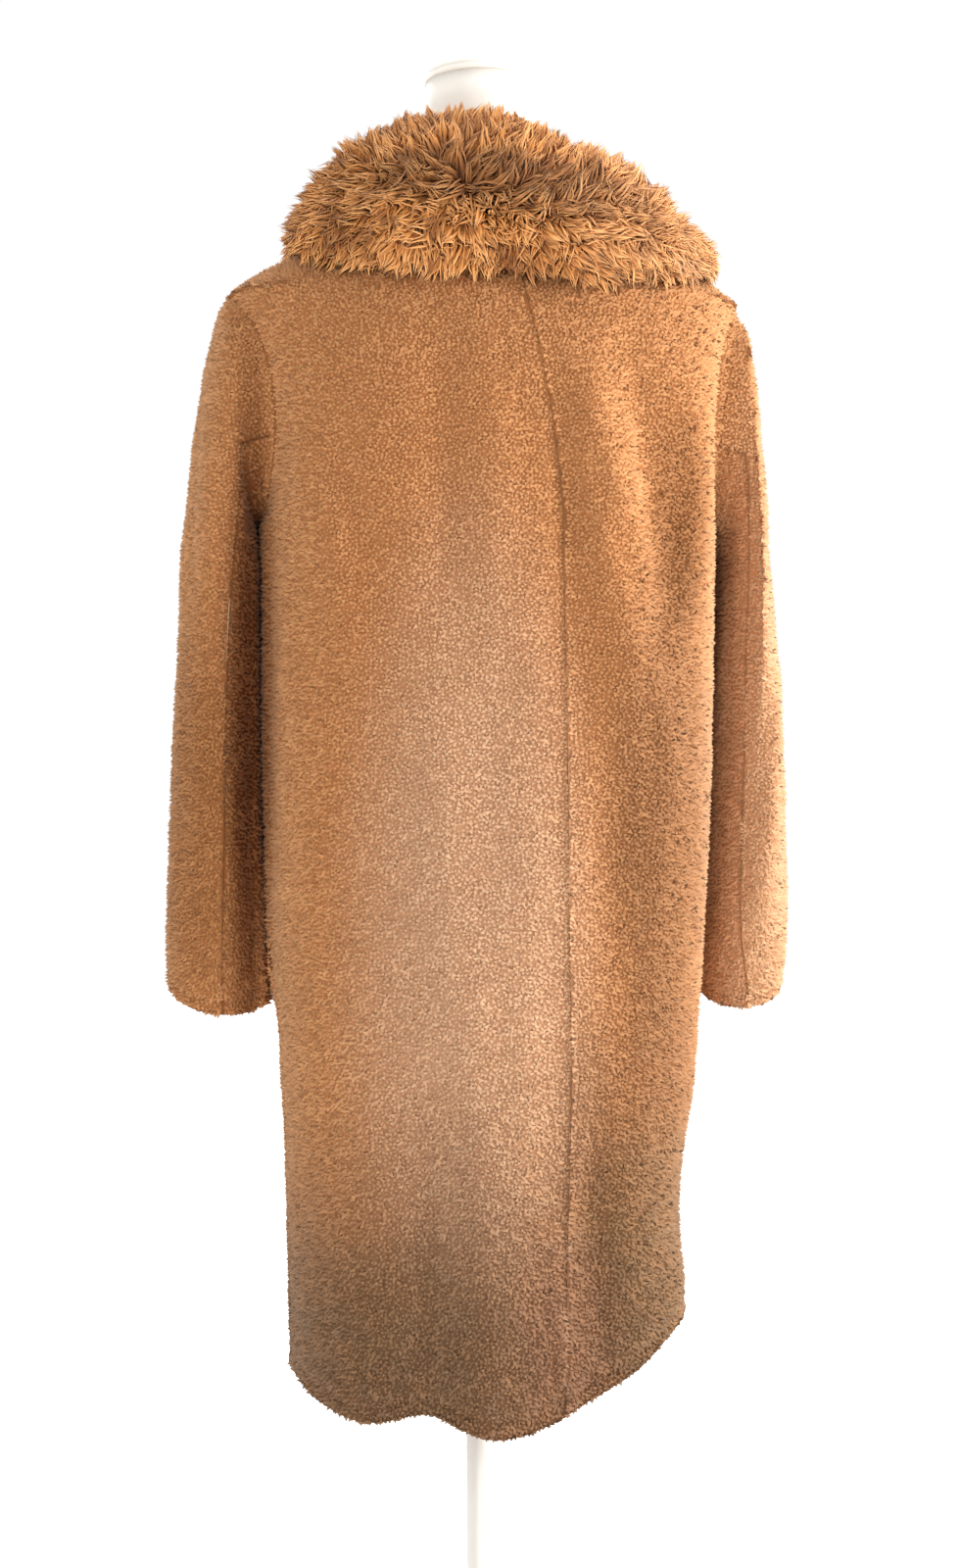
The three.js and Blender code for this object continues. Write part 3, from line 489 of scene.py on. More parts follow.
def short_pile_finish(colours):
    """Curly camel pile, warm above, with painted shade greying it towards the hem, darker at its roots."""
    f = Finish("camel pile")
    along = f.attribute("along")
    tint = f.attribute("tint")
    cloth = coat_colour_with_painted_light(f, colours)
    mottle = f.noise(42.0, 3.0, 0.6)
    cloth = f.mix(f.ranged(mottle, 0.35, 0.7) * 0.22, cloth, tuple(colours.camel_root))
    shade = f.mix(along.clamped(), (0.84, 0.78, 0.72), (1.0, 1.0, 1.0))
    cloth = f.mix(1.0, cloth, shade, "MULTIPLY")
    cloth = f.mix(f.ranged(tint, 0.0, 1.0) * 0.3, cloth, (1.0, 0.93, 0.84), "SOFT_LIGHT")
    curl = f.noise(900.0, 2.0, 0.6)
    normal = f.bump(curl, 0.6 * MM, 0.5)
    return f.shader(
        cloth, 0.9, normal, sheen=0.12, sheen_roughness=0.5, sheen_tint=(1.0, 0.86, 0.72, 1), specular=0.2
    )


def backing_finish(colours, name, root=None):
    """The knitted back of the pile cloth, and the dark bed of the pile on its outer side."""
    f = Finish(name)
    pile = f.attribute("pile_side")
    settings = {"wave_type": "BANDS", "bands_direction": "DIAGONAL"}
    sockets = {"Vector": f.place, "Scale": 160.0, "Distortion": 1.5, "Detail": 2.0}
    rib = f.number(f.add("ShaderNodeTexWave", settings, sockets).outputs[1])
    knit = f.mix(rib * 0.4, (0.50, 0.34, 0.21), (0.34, 0.215, 0.125))
    knit = f.mix(f.ranged(f.noise(30.0), 0.3, 0.7) * 0.2, knit, (0.27, 0.17, 0.10))
    bed = f.mix(1.0, coat_colour_with_painted_light(f, colours), (0.70, 0.62, 0.55), "MULTIPLY") if root is None else root
    bed = f.mix(f.ranged(f.noise(420.0, 3.0, 0.65), 0.35, 0.65), bed, (0.8, 0.78, 0.76), "MULTIPLY")
    # Painted shade in the seams: the faces sewn against another piece are darkened.
    bed = f.mix(f.attribute("sewn") * 0.4, bed, (0.17, 0.085, 0.04))
    normal = f.bump(rib, 0.3 * MM, 0.4)
    return f.shader(f.mix(pile.clamped(), knit, bed), 0.95, normal, specular=0.08)


def long_pile_finish(colours):
    """The collar's long pile: dark roots, warm lengths and pale tips, each lock a little different."""
    f = Finish("collar pile")
    along = f.attribute("along")
    tint = f.attribute("tint")
    stops = (
        (0.1, tuple(colours.collar_root)),
        (0.55, tuple(colours.collar)),
        (1.0, tuple(colours.collar_tip)),
    )
    ramp = f.add("ShaderNodeValToRGB", {"stops": stops}, {0: along + (tint - 0.5) * 0.3})
    clumps = f.ranged(f.noise(38.0, 2.0, 0.6), 0.46, 0.62)
    colour = f.mix(clumps * 0.62, ramp.outputs[0], tuple(colours.collar_root))
    colour = f.patched(colour, COLLAR_LIGHT_AND_SHADE)
    sheen_tint = (1.0, 0.8, 0.6, 1)
    return f.shader(colour, 0.62, sheen=0.25, sheen_roughness=0.4, sheen_tint=sheen_tint, specular=0.35)


def form_finish(colours):
    """The form's smooth off-white shell, with a fine line round the top of its neck cap."""
    f = Finish("form shell")
    cloud = f.noise(14.0, 3.0)
    colour = f.mix(f.ranged(cloud, 0.3, 0.75) * 0.5, tuple(colours.form), (0.84, 0.80, 0.73))
    line = f.ranged(f.z, *CAP_LINE[:2]) * f.ranged(f.z, *CAP_LINE[2:], 1.0, 0.0)
    colour = f.mix(line * 0.7, colour, (0.42, 0.30, 0.18))
    grain = f.noise(260.0, 3.0)
    return f.shader(colour, 0.42 + cloud * 0.14, f.bump(grain, 0.15 * MM, 0.35), coat=0.08)


def enamel_finish():
    """White enamel on steel, with the faint ripple of a sprayed coat."""
    f = Finish("white enamel")
    ripple = f.noise(75.0, 2.0)
    worn = f.ranged(f.noise(24.0, 5.0, 0.7), 0.66, 0.78)
    colour = f.mix(worn * 0.12, (0.80, 0.79, 0.76), (0.58, 0.56, 0.52))
    return f.shader(colour, 0.28 + ripple * 0.12, f.bump(ripple, 0.2 * MM, 0.3), coat=0.3)


def floor_finish():
    f = Finish("pale floor")
    colour = (0.95, 0.95, 0.945)
    return f.shader(f.mix(f.noise(3.0) * 0.3, colour, tuple(c * 0.985 for c in colour)), 0.9)


def linked_object(name, mesh):
    piece = bpy.data.objects.new(name, mesh)
    bpy.context.scene.collection.objects.link(piece)
    return piece


def plain_mesh(piece, name):
    """The piece's evaluated mesh as a plain one, with its modifiers removed."""
    graph = bpy.context.evaluated_depsgraph_get()
    final = piece.evaluated_get(graph)
    made = bpy.data.meshes.new_from_object(final, preserve_all_data_layers=True, depsgraph=graph)
    piece.modifiers.clear()
    old = piece.data
    piece.data = made
    made.name = name
    bpy.data.meshes.remove(old)
    return made


def smooth_faces(mesh):
    mesh.polygons.foreach_set("use_smooth", np.ones(len(mesh.polygons), bool))
    mesh.update()


def tree_of(nodes):
    """One search tree for the faces of several solids, and nothing of the others."""
    points, faces = [], []
    for name in nodes:
        mesh = frame["nodes"][name].data
        first = len(points)
        points += [v.co.copy() for v in mesh.vertices]
        faces += [[first + i for i in p.vertices] for p in mesh.polygons]
    return BVHTree.FromPolygons(points, faces)


def surface_point(coat, seen, along, height):
    """The outermost point of the coat as seen from one side."""
    away, across = LOOKS_FROM[seen]
    start = away * LOOK_START + across * along * MM + Vector((0, 0, height * MM))
    hit = coat.ray_cast(start, -away)[0]
    if hit is None:
        raise RuntimeError(f"no cloth at {seen} {along}, {height}")
    return hit


def body_outward(point):
    return Vector((BODY_SPREAD * point.x, point.y - BODY_MIDDLE, point.z - min(point.z, SHOULDER_START)))


def nearest_on_path(place, path):
    """The nearest point of a path of straight stretches."""
    best, gap = None, 1e9
    for start, end in zip(path, path[1:]):
        run = end - start
        share = min(max((place - start).dot(run) / run.length_squared, 0), 1)
        near = start + run * share
        if (place - near).length < gap:
            best, gap = near, (place - near).length
    return best


def sleeve_outward(point):
    side = math.copysign(1, point.x)
    place = Vector((point.x * side, point.y, point.z))
    away = place - nearest_on_path(place, SLEEVE_AXIS)
    return Vector((away.x * side, away.y, away.z))


def faces_out(face, node, cover):
    """How far a face turns to the pile side: from -1 to 1, or just 0 or 1 on the collar."""
    middle = face.calc_center_median()
    if node == "collar":
        return 0.0 if cover.ray_cast(middle + face.normal * MM, face.normal, COLLAR_REACH)[0] else 1.0
    outward = sleeve_outward(middle) if node.startswith("sleeve") else body_outward(middle)
    return face.normal.dot(outward.normalized())


def regions(bm, sharp):
    """The faces in groups that no sharp edge divides."""
    left = set(bm.faces)
    found = []
    while left:
        group, queue = [], [left.pop()]
        while queue:
            face = queue.pop()
            group.append(face)
            for edge in face.edges:
                if edge in sharp:
                    continue
                for other in edge.link_faces:
                    if other in left:
                        left.remove(other)
                        queue.append(other)
        found.append(group)
    return found


def rim_label(group, node):
    """A narrow strip's label: free at a hem or down a front's edge, hidden where it is sewn."""
    area = sum(f.calc_area() for f in group)
    middle = sum((f.calc_center_median() * f.calc_area() for f in group), Vector()) / area
    normal = sum((f.normal * f.calc_area() for f in group), Vector()).normalized()
    hem = normal.z < HEM_FACING and middle.z < HEM_TOP
    front_edge = node.startswith("front") and abs(middle.x) < FRONT_LAP and middle.z < COLLAR_FOOT
    return FREE_RIM if hem or front_edge else HIDDEN


def label_faces(bm, node, sharp, label):
    """Marks each face as backing, pile, a free rim, or hidden against another piece."""
    cover = tree_of([name for name in (*PANELS, "collar") if name.startswith(("back", "front", "collar"))])
    near = tree_of([name for name in (*PANELS, "collar") if name != node])
    for group in regions(bm, sharp):
        area = sum(f.calc_area() for f in group)
        out = sum(faces_out(f, node, cover) * f.calc_area() for f in group) / area
        if node == "collar":
            kind = PILE if out > 0.5 else BACKING
        elif area < RIM_AREA:
            kind = rim_label(group, node)
        else:
            kind = PILE if out > 0 else BACKING
        for face in group:
            face[label] = kind
            if kind == BACKING and node != "collar" and faces_out(face, node, cover) > EDGE_ON:
                face[label] = HIDDEN
            if kind != PILE or not node.startswith("front"):
                continue
            middle = face.calc_center_median()
            corners = [middle.lerp(v.co, 0.8) - face.normal * 0.2 * MM for v in face.verts]
            hits = [near.ray_cast(c, face.normal, SEAM_REACH) for c in corners]
            if all(hit[0] and hit[1].dot(face.normal) < FACING for hit in hits):
                face[label] = HIDDEN


def cloth_piece(name, node, levels):
    """A welded copy of a solid, rounded by subdivision, with its faces labelled."""
    bm = bmesh.new()
    bm.from_mesh(frame["nodes"][node].data)
    bmesh.ops.remove_doubles(bm, verts=bm.verts, dist=WELD)
    bmesh.ops.join_triangles(
        bm, faces=bm.faces, angle_face_threshold=JOIN_ANGLE, angle_shape_threshold=JOIN_ANGLE
    )
    bm.normal_update()
    crease = bm.edges.layers.float.new("crease_edge")
    label = bm.faces.layers.int.new("label")
    sharp = {e for e in bm.edges if len(e.link_faces) == 2 and e.calc_face_angle() > RIM_ANGLE}
    for edge in sharp:
        edge[crease] = 1
    label_faces(bm, node, sharp, label)
    mesh = bpy.data.meshes.new(name)
    bm.to_mesh(mesh)
    bm.free()
    piece = linked_object(name, mesh)
    rounding = piece.modifiers.new("rounded", "SUBSURF")
    rounding.levels = rounding.render_levels = levels
    plain_mesh(piece, name)
    smooth_faces(piece.data)
    return piece


def read(items, key, width=1, kind=float):
    """One value of every item as an array, with a row for each where the value is a vector."""
    values = np.zeros(len(items) * width, kind)
    items.foreach_get(key, values)
    return values.reshape(-1, width) if width > 1 else values


class Surface:
    """A cloth mesh's points, normals and labels as arrays."""

    def __init__(self, mesh):
        self.mesh = mesh
        self.points = read(mesh.vertices, "co", 3)
        self.labels = read(mesh.attributes["label"].data, "value", kind=int)
        self.sizes = read(mesh.polygons, "loop_total", kind=int)
        self.corners = read(mesh.loops, "vertex_index", kind=int)
        self.face_of = np.repeat(np.arange(len(self.sizes)), self.sizes)
        self.face_normals = read(mesh.polygons, "normal", 3)
        self.areas = read(mesh.polygons, "area")

    def normals(self, chosen):
        """Each point's normal from the chosen faces alone, and whether it touches one."""
        weights = np.where(chosen, self.areas, 0)
        total = np.zeros_like(self.points)
        np.add.at(total, self.corners, (self.face_normals * weights[:, None])[self.face_of])
        touches = np.zeros(len(self.points), bool)
        touches[self.corners[chosen[self.face_of]]] = True
        return unit(total), touches

    def store(self, name, kind, domain, values):
        field = self.mesh.attributes.new(name, kind, domain)
        key = "vector" if kind == "FLOAT_VECTOR" else "value"
        field.data.foreach_set(key, np.ravel(values))

    def move(self, offsets):
        self.points = self.points + offsets
        self.mesh.vertices.foreach_set("co", np.ravel(self.points))
        self.mesh.update()


def seam_distance(cloth):
    """How far each point lies from the faces that are sewn or hidden."""
    hidden = np.nonzero(cloth.labels == HIDDEN)[0]
    faces = [list(cloth.mesh.polygons[i].vertices) for i in hidden]
    if not faces:
        return np.full(len(cloth.points), 1.0)
    finder = BVHTree.FromPolygons([Vector(p) for p in cloth.points], faces)
    return np.array([finder.find_nearest(Vector(p))[3] for p in cloth.points])


def crowding(cloth, out, touches, node):
    """How closely each pile point faces another panel, from 0 to 1, and how far off that one is."""
    near = tree_of([name for name in PANELS if name != node])
    crowd = np.zeros(len(cloth.points))
    room = np.zeros(len(cloth.points))
    for i in np.nonzero(touches)[0]:
        normal = Vector(out[i])
        hit = near.ray_cast(Vector(cloth.points[i]) + normal * RAY_START, normal, CROWD_REACH)
        if hit[0] and hit[1].dot(normal) < FACING:
            crowd[i] = 1 - smoothstep(0.5, 1.0, hit[3] / CROWD_REACH)
            room[i] = hit[3]
    return crowd, room


def crease_rise(points, coat):
    """How far the listed creases lift or press each point."""
    rise = np.zeros(len(points))
    for seen, rows in CREASES.items():
        for start, end, width, height in rows:
            first, last = (np.array(surface_point(coat, seen, *place)) for place in (start, end))
            run = last - first
            share = np.clip((points - first) @ run / (run @ run), 0, 1)
            away = np.linalg.norm(points - (first + share[:, None] * run), axis=1) / (width * MM)
            fade = np.sin(np.pi * np.clip(share, 0.04, 0.96)) ** 0.7
            rise += height * MM * np.exp(-away * away) * fade
    return rise


def set_finish(piece, finish):
    piece.data.materials.clear()
    piece.data.materials.append(finish)


def store_nap(cloth, lay, length):
    """Which side of a cloth carries pile, which way that lies and how long it is."""
    cloth.store("pile_side", "FLOAT", "FACE", (cloth.labels != BACKING).astype(float))
    cloth.store("lay", "FLOAT_VECTOR", "POINT", lay)
    cloth.store("length", "FLOAT", "POINT", length)


def unevenness(points, size, depth):
    """Soft irregular rise and fall over the cloth."""
    return depth * np.array([noise.noise(Vector(p) / size) for p in points])


def hem_trough(points, rim_points, above, width, depth):
    """The trough where a turned-up hem is caught, a little above a free edge."""
    if not len(rim_points):
        return np.zeros(len(points))
    finder = KDTree(len(rim_points))
    for i, place in enumerate(rim_points):
        finder.insert(place, i)
    finder.balance()
    away = np.array([finder.find(p)[2] for p in points])
    return -depth * np.exp(-(((away - above) / width) ** 2))


def dress_panel(node, sizes, coat, finishes):
    """One panel's cloth: its solid's form, set in by the pile, with its fine creases and its hem."""
    fine = node.startswith(FINE_PANELS)
    piece = cloth_piece(f"cloth_{node}", node, 2 if fine else 1)
    cloth = Surface(piece.data)
    out, touches = cloth.normals(cloth.labels == PILE)
    inward, inner = cloth.normals(cloth.labels == BACKING)
    rim, rim_touches = cloth.normals(cloth.labels == FREE_RIM)
    hem = rim_touches & (rim[:, 2] < HEM_FACING)
    rise = crease_rise(cloth.points, coat)
    rise += sum(unevenness(cloth.points, *row) for row in CLOTH_UNEVEN)
    rise += hem_trough(cloth.points, cloth.points[hem & touches], *HEM_TROUGH)
    seam = seam_distance(cloth)
    seam_free = SEAM_INSET + (1 - SEAM_INSET) * smoothstep(0, SEAM_SLOPE, seam)
    crowd, room = crowding(cloth, out, touches, node)
    inset = sizes.pile_depth * seam_free * (1 - crowd) - CROWD_SHARE * room * crowd
    lift = np.where(touches, rise * seam_free - inset, 0)
    under = np.where(inner & ~touches, -np.minimum(rise * seam_free, MM), 0)
    tuck = np.where(rim_touches, -RIM_TUCK * sizes.pile_depth * seam_free, 0)
    side, side_touches = cloth.normals(cloth.labels == HIDDEN)
    close = np.where(side_touches, SEAM_CLOSE, 0)
    offsets = out * lift[:, None] + inward * under[:, None] + rim * tuck[:, None] + side * close[:, None]
    cloth.move(offsets)
    furred = (cloth.labels == PILE) | (cloth.labels == FREE_RIM)
    cloth.store("pile", "FLOAT", "FACE", furred.astype(float))
    cloth.store("sewn", "FLOAT", "FACE", (cloth.labels == HIDDEN).astype(float))
    count = len(cloth.points)
    store_nap(cloth, np.tile((0.0, 0.0, -1.0), (count, 1)), np.ones(count))
    set_finish(piece, finishes["backing"])
    return piece


def parting_point(place):
    """The nearest point of the collar's parting, at the depth of the place."""
    best = nearest_on_path(Vector((place.x, place.z)), PARTING)
    return Vector((best.x, place.y, best.y))


def collar_lay(place, normal):
    """Which way the collar's pile lies at a place, and how flat."""
    around = abs(math.degrees(math.atan2(place.x, place.y + 0.005)))
    from_parting = place - parting_point(place)
    fan = from_parting.normalized() * PARTING_PULL + (place - WHORL).normalized() * WHORL_PULL
    outward = Vector((place.x, place.y + 0.005, 0)).normalized()
    fall = outward * 0.5 + Vector((0, 0, -1))
    side = float(smoothstep(*FALL_TURN, around))
    way = fan.lerp(fall, side) + Vector((0, 0, -0.12))
    way -= normal * way.dot(normal)
    near = 1 - float(smoothstep(*PARTING_EDGE, from_parting.length))
    flat = (1 - 0.75 * near * (1 - side)) * (0.95 + 0.15 * side)
    return way.normalized() * flat


def dress_collar(sizes, finishes):
    """The collar's cloth, set in by its long pile, with the way its pile lies."""
    piece = cloth_piece("cloth_collar", "collar", 1)
    cloth = Surface(piece.data)
    pile_faces = cloth.labels == PILE
    out, touches = cloth.normals(pile_faces)
    solid = tree_of(["collar"])
    depth = np.zeros(len(cloth.points))
    for i in np.nonzero(touches)[0]:
        start = Vector(cloth.points[i]) - Vector(out[i]) * RAY_START
        hit = solid.ray_cast(start, -Vector(out[i]), COLLAR_REACH)
        depth[i] = min(sizes.lock_depth, DEPTH_SHARE * (hit[3] if hit[0] else THIN_COLLAR))
    uneven = unevenness(cloth.points, *COLLAR_UNEVEN)
    cloth.move(out * np.where(touches, uneven - depth, 0)[:, None])
    middles = np.zeros((len(cloth.labels), 3))
    np.add.at(middles, cloth.face_of, cloth.points[cloth.corners] / cloth.sizes[cloth.face_of][:, None])
    for part, (low, high) in COLLAR_PARTS.items():
        inside = pile_faces & (middles[:, 0] >= low) & (middles[:, 0] < high)
        cloth.store(f"pile_{part}", "FLOAT", "FACE", inside.astype(float))
    lay = [collar_lay(Vector(p), Vector(n)) for p, n in zip(cloth.points, out)]
    upper = 1 - 0.4 * smoothstep(*UPPER_COLLAR, cloth.points[:, 2])
    sides = 1 - 0.25 * smoothstep(*COLLAR_SIDES, np.abs(cloth.points[:, 0]))
    shares = np.clip(depth / sizes.lock_depth, SHORTEST_LOCK, 1) * upper * sides
    store_nap(cloth, np.array(lay), shares)
    set_finish(piece, finishes["collar_backing"])
    return piece


def curl_mesh():
    """One curl of the short pile: a low three-sided spike, bent a little to one side."""
    mesh = bpy.data.meshes.new("curl")
    turn = 2 * math.pi / 3
    ring = [(0.46 * math.cos(turn * k), 0.46 * math.sin(turn * k), -0.08) for k in range(3)]
    points = [*ring, (0.24, 0.04, 0.70)]
    mesh.from_pydata(points, [], [(k, (k + 1) % 3, 3) for k in range(3)])
    along = mesh.attributes.new("along", "FLOAT", "POINT")
    along.data.foreach_set("value", [0.0, 0.0, 0.0, 1.0])
    smooth_faces(mesh)
    return mesh


def lock_mesh():
    """One lock of the long pile: flat strands that end in points and bend over, about one unit long."""
    mesh = bpy.data.meshes.new("lock")
    points, faces, along = [], [], []
    for strand in range(STRANDS):
        angle = 2.4 * strand
        reach = 0.9 + 0.1 * math.sin(strand * 1.7)
        away = Vector((math.cos(angle), math.sin(angle), 0)) * math.sqrt((strand + 0.5) / STRANDS)
        across = Vector((-math.sin(angle), math.cos(angle), 0))
        first = len(points)
        for step in range(STRAND_STEPS + 1):
            t = step / STRAND_STEPS
            spread = 0.09 + 0.13 * math.sin(math.pi * min(t * 1.05, 1)) - 0.05 * t
            bend = Vector((0.30 * t * t, 0.02 * math.sin(5 * t + strand), 0))
            middle = away * spread + bend + Vector((0, 0, (t - 0.12 * t * t) * reach - 0.06))
            half = 0.030 * (1 - 0.3 * t)
            if step == STRAND_STEPS:
                points.append(middle)
                along.append(t)
            else:
                points += [middle - across * half, middle + across * half]
                along += [t, t]
        for step in range(STRAND_STEPS - 1):
            a = first + 2 * step
            faces.append((a, a + 1, a + 3, a + 2))
        a = first + 2 * (STRAND_STEPS - 1)
        faces.append((a, a + 1, a + 2))
    mesh.from_pydata([tuple(p) for p in points], [], faces)
    field = mesh.attributes.new("along", "FLOAT", "POINT")
    field.data.foreach_set("value", along)
    smooth_faces(mesh)
    return mesh


def pile_tree():
    """Plants strands over a cloth: spaced, leaning the way its pile lies and scaled to its length there."""
    group = bpy.data.node_groups.new("pile", "GeometryNodeTree")
    group.interface.new_socket("Geometry", in_out="INPUT", socket_type="NodeSocketGeometry")
    for name, kind, value in PILE_INPUTS:
        socket = group.interface.new_socket(name, in_out="INPUT", socket_type=kind)
        if value is not None:
            socket.default_value = value
    group.interface.new_socket("Geometry", in_out="OUTPUT", socket_type="NodeSocketGeometry")
    t = Tree(group)
    given = t.add("NodeGroupInput").outputs

    def named(kind, name):
        node = t.add("GeometryNodeInputNamedAttribute", {"data_type": kind}, {"Name": name})
        return node.outputs["Attribute"]

    def named_number(name):
        return t.number(named("FLOAT", name))

    def vector(operation, first, second):
        return t.add("ShaderNodeVectorMath", {"operation": operation}, {0: first, 1: second}).outputs[0]

    def scaled(first, factor):
        settings = {"operation": "SCALE"}
        return t.add("ShaderNodeVectorMath", settings, {0: first, "Scale": factor}).outputs[0]

    def drawn(low, high, offset):
        seed = t.number(given["Seed"]) * 10 + offset
        node = t.add("FunctionNodeRandomValue", {"data_type": "FLOAT"}, {2: low, 3: high, 8: seed})
        return t.number(node.outputs[1])

    def cloud(scale):
        sockets = {"Vector": t.add("GeometryNodeInputPosition").outputs[0], "Scale": scale, "Detail": 1.0}
        colour = t.add("ShaderNodeTexNoise", None, sockets).outputs["Color"]
        return vector("SUBTRACT", colour, (0.5, 0.5, 0.5))

    spread = t.add(
        "GeometryNodeDistributePointsOnFaces",
        {"distribute_method": "POISSON"},
        {
            "Mesh": given["Geometry"],
            "Distance Min": given["Spacing"],
            "Density Max": FULLEST,
            "Density Factor": named("FLOAT", given["Where"]),
            "Seed": given["Seed"],
        },
    )
    settings = {"data_type": "FLOAT_VECTOR"}
    sockets = {0: (-1.0, -1.0, -1.0), 1: (1.0, 1.0, 1.0), 8: given["Seed"]}
    random_way = t.add("FunctionNodeRandomValue", settings, sockets).outputs[0]
    way = vector("ADD", spread.outputs["Normal"], scaled(named("FLOAT_VECTOR", "lay"), given["Lean"]))
    way = vector("ADD", way, scaled(random_way, given["Jitter"]))
    way = vector("ADD", way, scaled(cloud(given["Swirl scale"]), given["Swirl"]))
    aim = t.add("FunctionNodeAlignRotationToVector", {"axis": "Z"}, {"Vector": way})
    spin = t.add("FunctionNodeAxisAngleToRotation", None, {"Angle": drawn(0.0, 2 * math.pi, 1)})
    settings = {"rotation_space": "LOCAL"}
    turned = t.add("FunctionNodeRotateRotation", settings, {0: aim.outputs[0], 1: spin.outputs[0]})

    length = t.number(given["Length"]) * named_number("length") * drawn(0.72, 1.22, 2)
    strand = t.add("GeometryNodeObjectInfo", None, {"Object": given["Strand"], "As Instance": True})
    settings = {"data_type": "FLOAT_VECTOR", "domain": "POINT"}
    sockets = {"Geometry": spread.outputs["Points"], "Name": "up", "Value": spread.outputs["Normal"]}
    marked = t.add("GeometryNodeStoreNamedAttribute", settings, sockets)
    sockets = {
        "Points": marked.outputs[0],
        "Instance": strand.outputs["Geometry"],
        "Rotation": turned.outputs[0],
        "Scale": length,
    }
    planted = t.add("GeometryNodeInstanceOnPoints", None, sockets)
    settings = {"data_type": "FLOAT", "domain": "INSTANCE"}
    sockets = {"Geometry": planted.outputs[0], "Name": "tint", "Value": drawn(0.0, 1.0, 3)}
    tinted = t.add("GeometryNodeStoreNamedAttribute", settings, sockets)
    real = t.add("GeometryNodeRealizeInstances", None, {0: tinted.outputs[0]})
    reach = named_number("along") ** 1.5 * t.number(given["Wave"])
    offset = scaled(cloud(given["Wave scale"]), reach)
    waved = t.add("GeometryNodeSetPosition", None, {"Geometry": real.outputs[0], "Offset": offset})
    finished = t.add(
        "GeometryNodeSetMaterial", None, {"Geometry": waved.outputs[0], "Material": given["Finish"]}
    )
    t.add("NodeGroupOutput", None, {0: finished.outputs[0]})
    return group


def soften(mesh, share):
    """Turns each strand's normals part of the way to its cloth's, so that the pile shades as one nap."""
    up = read(mesh.attributes["up"].data, "vector", 3)
    own = read(mesh.vertex_normals, "vector", 3)
    mesh.normals_split_custom_set_from_vertices(unit(up * share + own * (1 - share)))
    mesh.attributes.remove(mesh.attributes["up"])


def plant(name, cloth, values, softness):
    """The pile of one cloth as a plain mesh."""
    piece = linked_object(name, cloth.data.copy())
    growth = piece.modifiers.new("pile", "NODES")
    growth.node_group = Coat.group
    identifiers = {s.name: s.identifier for s in Coat.group.interface.items_tree if s.in_out == "INPUT"}
    for key, value in values.items():
        growth[identifiers[key]] = value
    plain_mesh(piece, name)
    smooth_faces(piece.data)
    if not len(piece.data.polygons):
        raise RuntimeError(f"{name} grew no pile")
    soften(piece.data, softness)
    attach(piece, "root")
    return piece


def turned_piece(name, profile, centre, segments, material):
    """A lathe-turned closed piece from its radius and height pairs."""
    bm = bmesh.new()
    ring = [bm.verts.new((radius, 0, height)) for radius, height in profile]
    edges = [bm.edges.new(pair) for pair in zip(ring, ring[1:])]
    bmesh.ops.spin(
        bm, geom=[*ring, *edges], cent=(0, 0, 0), axis=(0, 0, 1), angle=2 * math.pi, steps=segments
    )
    bmesh.ops.remove_doubles(bm, verts=bm.verts, dist=WELD)
    bmesh.ops.recalc_face_normals(bm, faces=bm.faces)
    bmesh.ops.translate(bm, verts=bm.verts, vec=centre)
    mesh = bpy.data.meshes.new(name)
    bm.to_mesh(mesh)
    bm.free()
    mesh.materials.append(material)
    piece = linked_object(name, mesh)
    smooth_faces(mesh)
    return piece


def arc(centre, radius, start, end, steps):
    """Points of an arc in the profile plane, angles in degrees from the radius direction."""
    angles = [math.radians(start + (end - start) * k / steps) for k in range(steps + 1)]
    return [(centre[0] + radius * math.cos(a), centre[1] + radius * math.sin(a)) for a in angles]


def settle(piece, node):
    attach(piece, "root")
    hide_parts(node)


class Coat:
    """The finishes and the pile tree that the operators share."""

    finishes = {}
    group = None


class COAT_OT_finishes(bpy.types.Operator):
    """Make the finishes of cloth, pile, form and stand"""

    bl_idname = "coat.finishes"
    bl_label = "Finishes"

    def execute(self, context):
        colours = context.scene.coat_colours
        Coat.finishes = {
            "pile": short_pile_finish(colours),
            "backing": backing_finish(colours, "camel backing"),
            "long": long_pile_finish(colours),
            "collar_backing": backing_finish(colours, "collar backing", tuple(colours.collar_root)),
            "form": form_finish(colours),
            "enamel": enamel_finish(),
        }
        Coat.group = pile_tree()
        return {"FINISHED"}


class COAT_OT_cloth(bpy.types.Operator):
    """Make the cloth of the backs, fronts and sleeves, with their creases and hems"""

    bl_idname = "coat.cloth"
    bl_label = "Cloth panels"

    def execute(self, context):
        coat = tree_of(PANELS)
        for node in PANELS:
            dress_panel(node, context.scene.coat_sizes, coat, Coat.finishes)
        return {"FINISHED"}


class COAT_OT_collar_cloth(bpy.types.Operator):
    """Make the collar's cloth"""

    bl_idname = "coat.collar_cloth"
    bl_label = "Collar cloth"

    def execute(self, context):
        dress_collar(context.scene.coat_sizes, Coat.finishes)
        return {"FINISHED"}


class COAT_OT_short_pile(bpy.types.Operator):
    """Plant the curly pile on the panels"""

    bl_idname = "coat.short_pile"
    bl_label = "Short pile"

    def execute(self, context):
        sizes = context.scene.coat_sizes
        strand = linked_object("curl_pattern", curl_mesh())
        for seed, node in enumerate(PANELS, 1):
            cloth = bpy.data.objects[f"cloth_{node}"]
            values = {
                "Strand": strand,
                "Where": "pile",
                "Spacing": sizes.pile_spacing,
                "Length": sizes.pile_length,
                "Finish": Coat.finishes["pile"],
                "Seed": seed,
                **CURL_STAND,
            }
            pile = plant(f"pile_{node}", cloth, values, CURL_SOFTNESS)
            settle(cloth, node)
        bpy.data.objects.remove(strand)
        return {"FINISHED"}


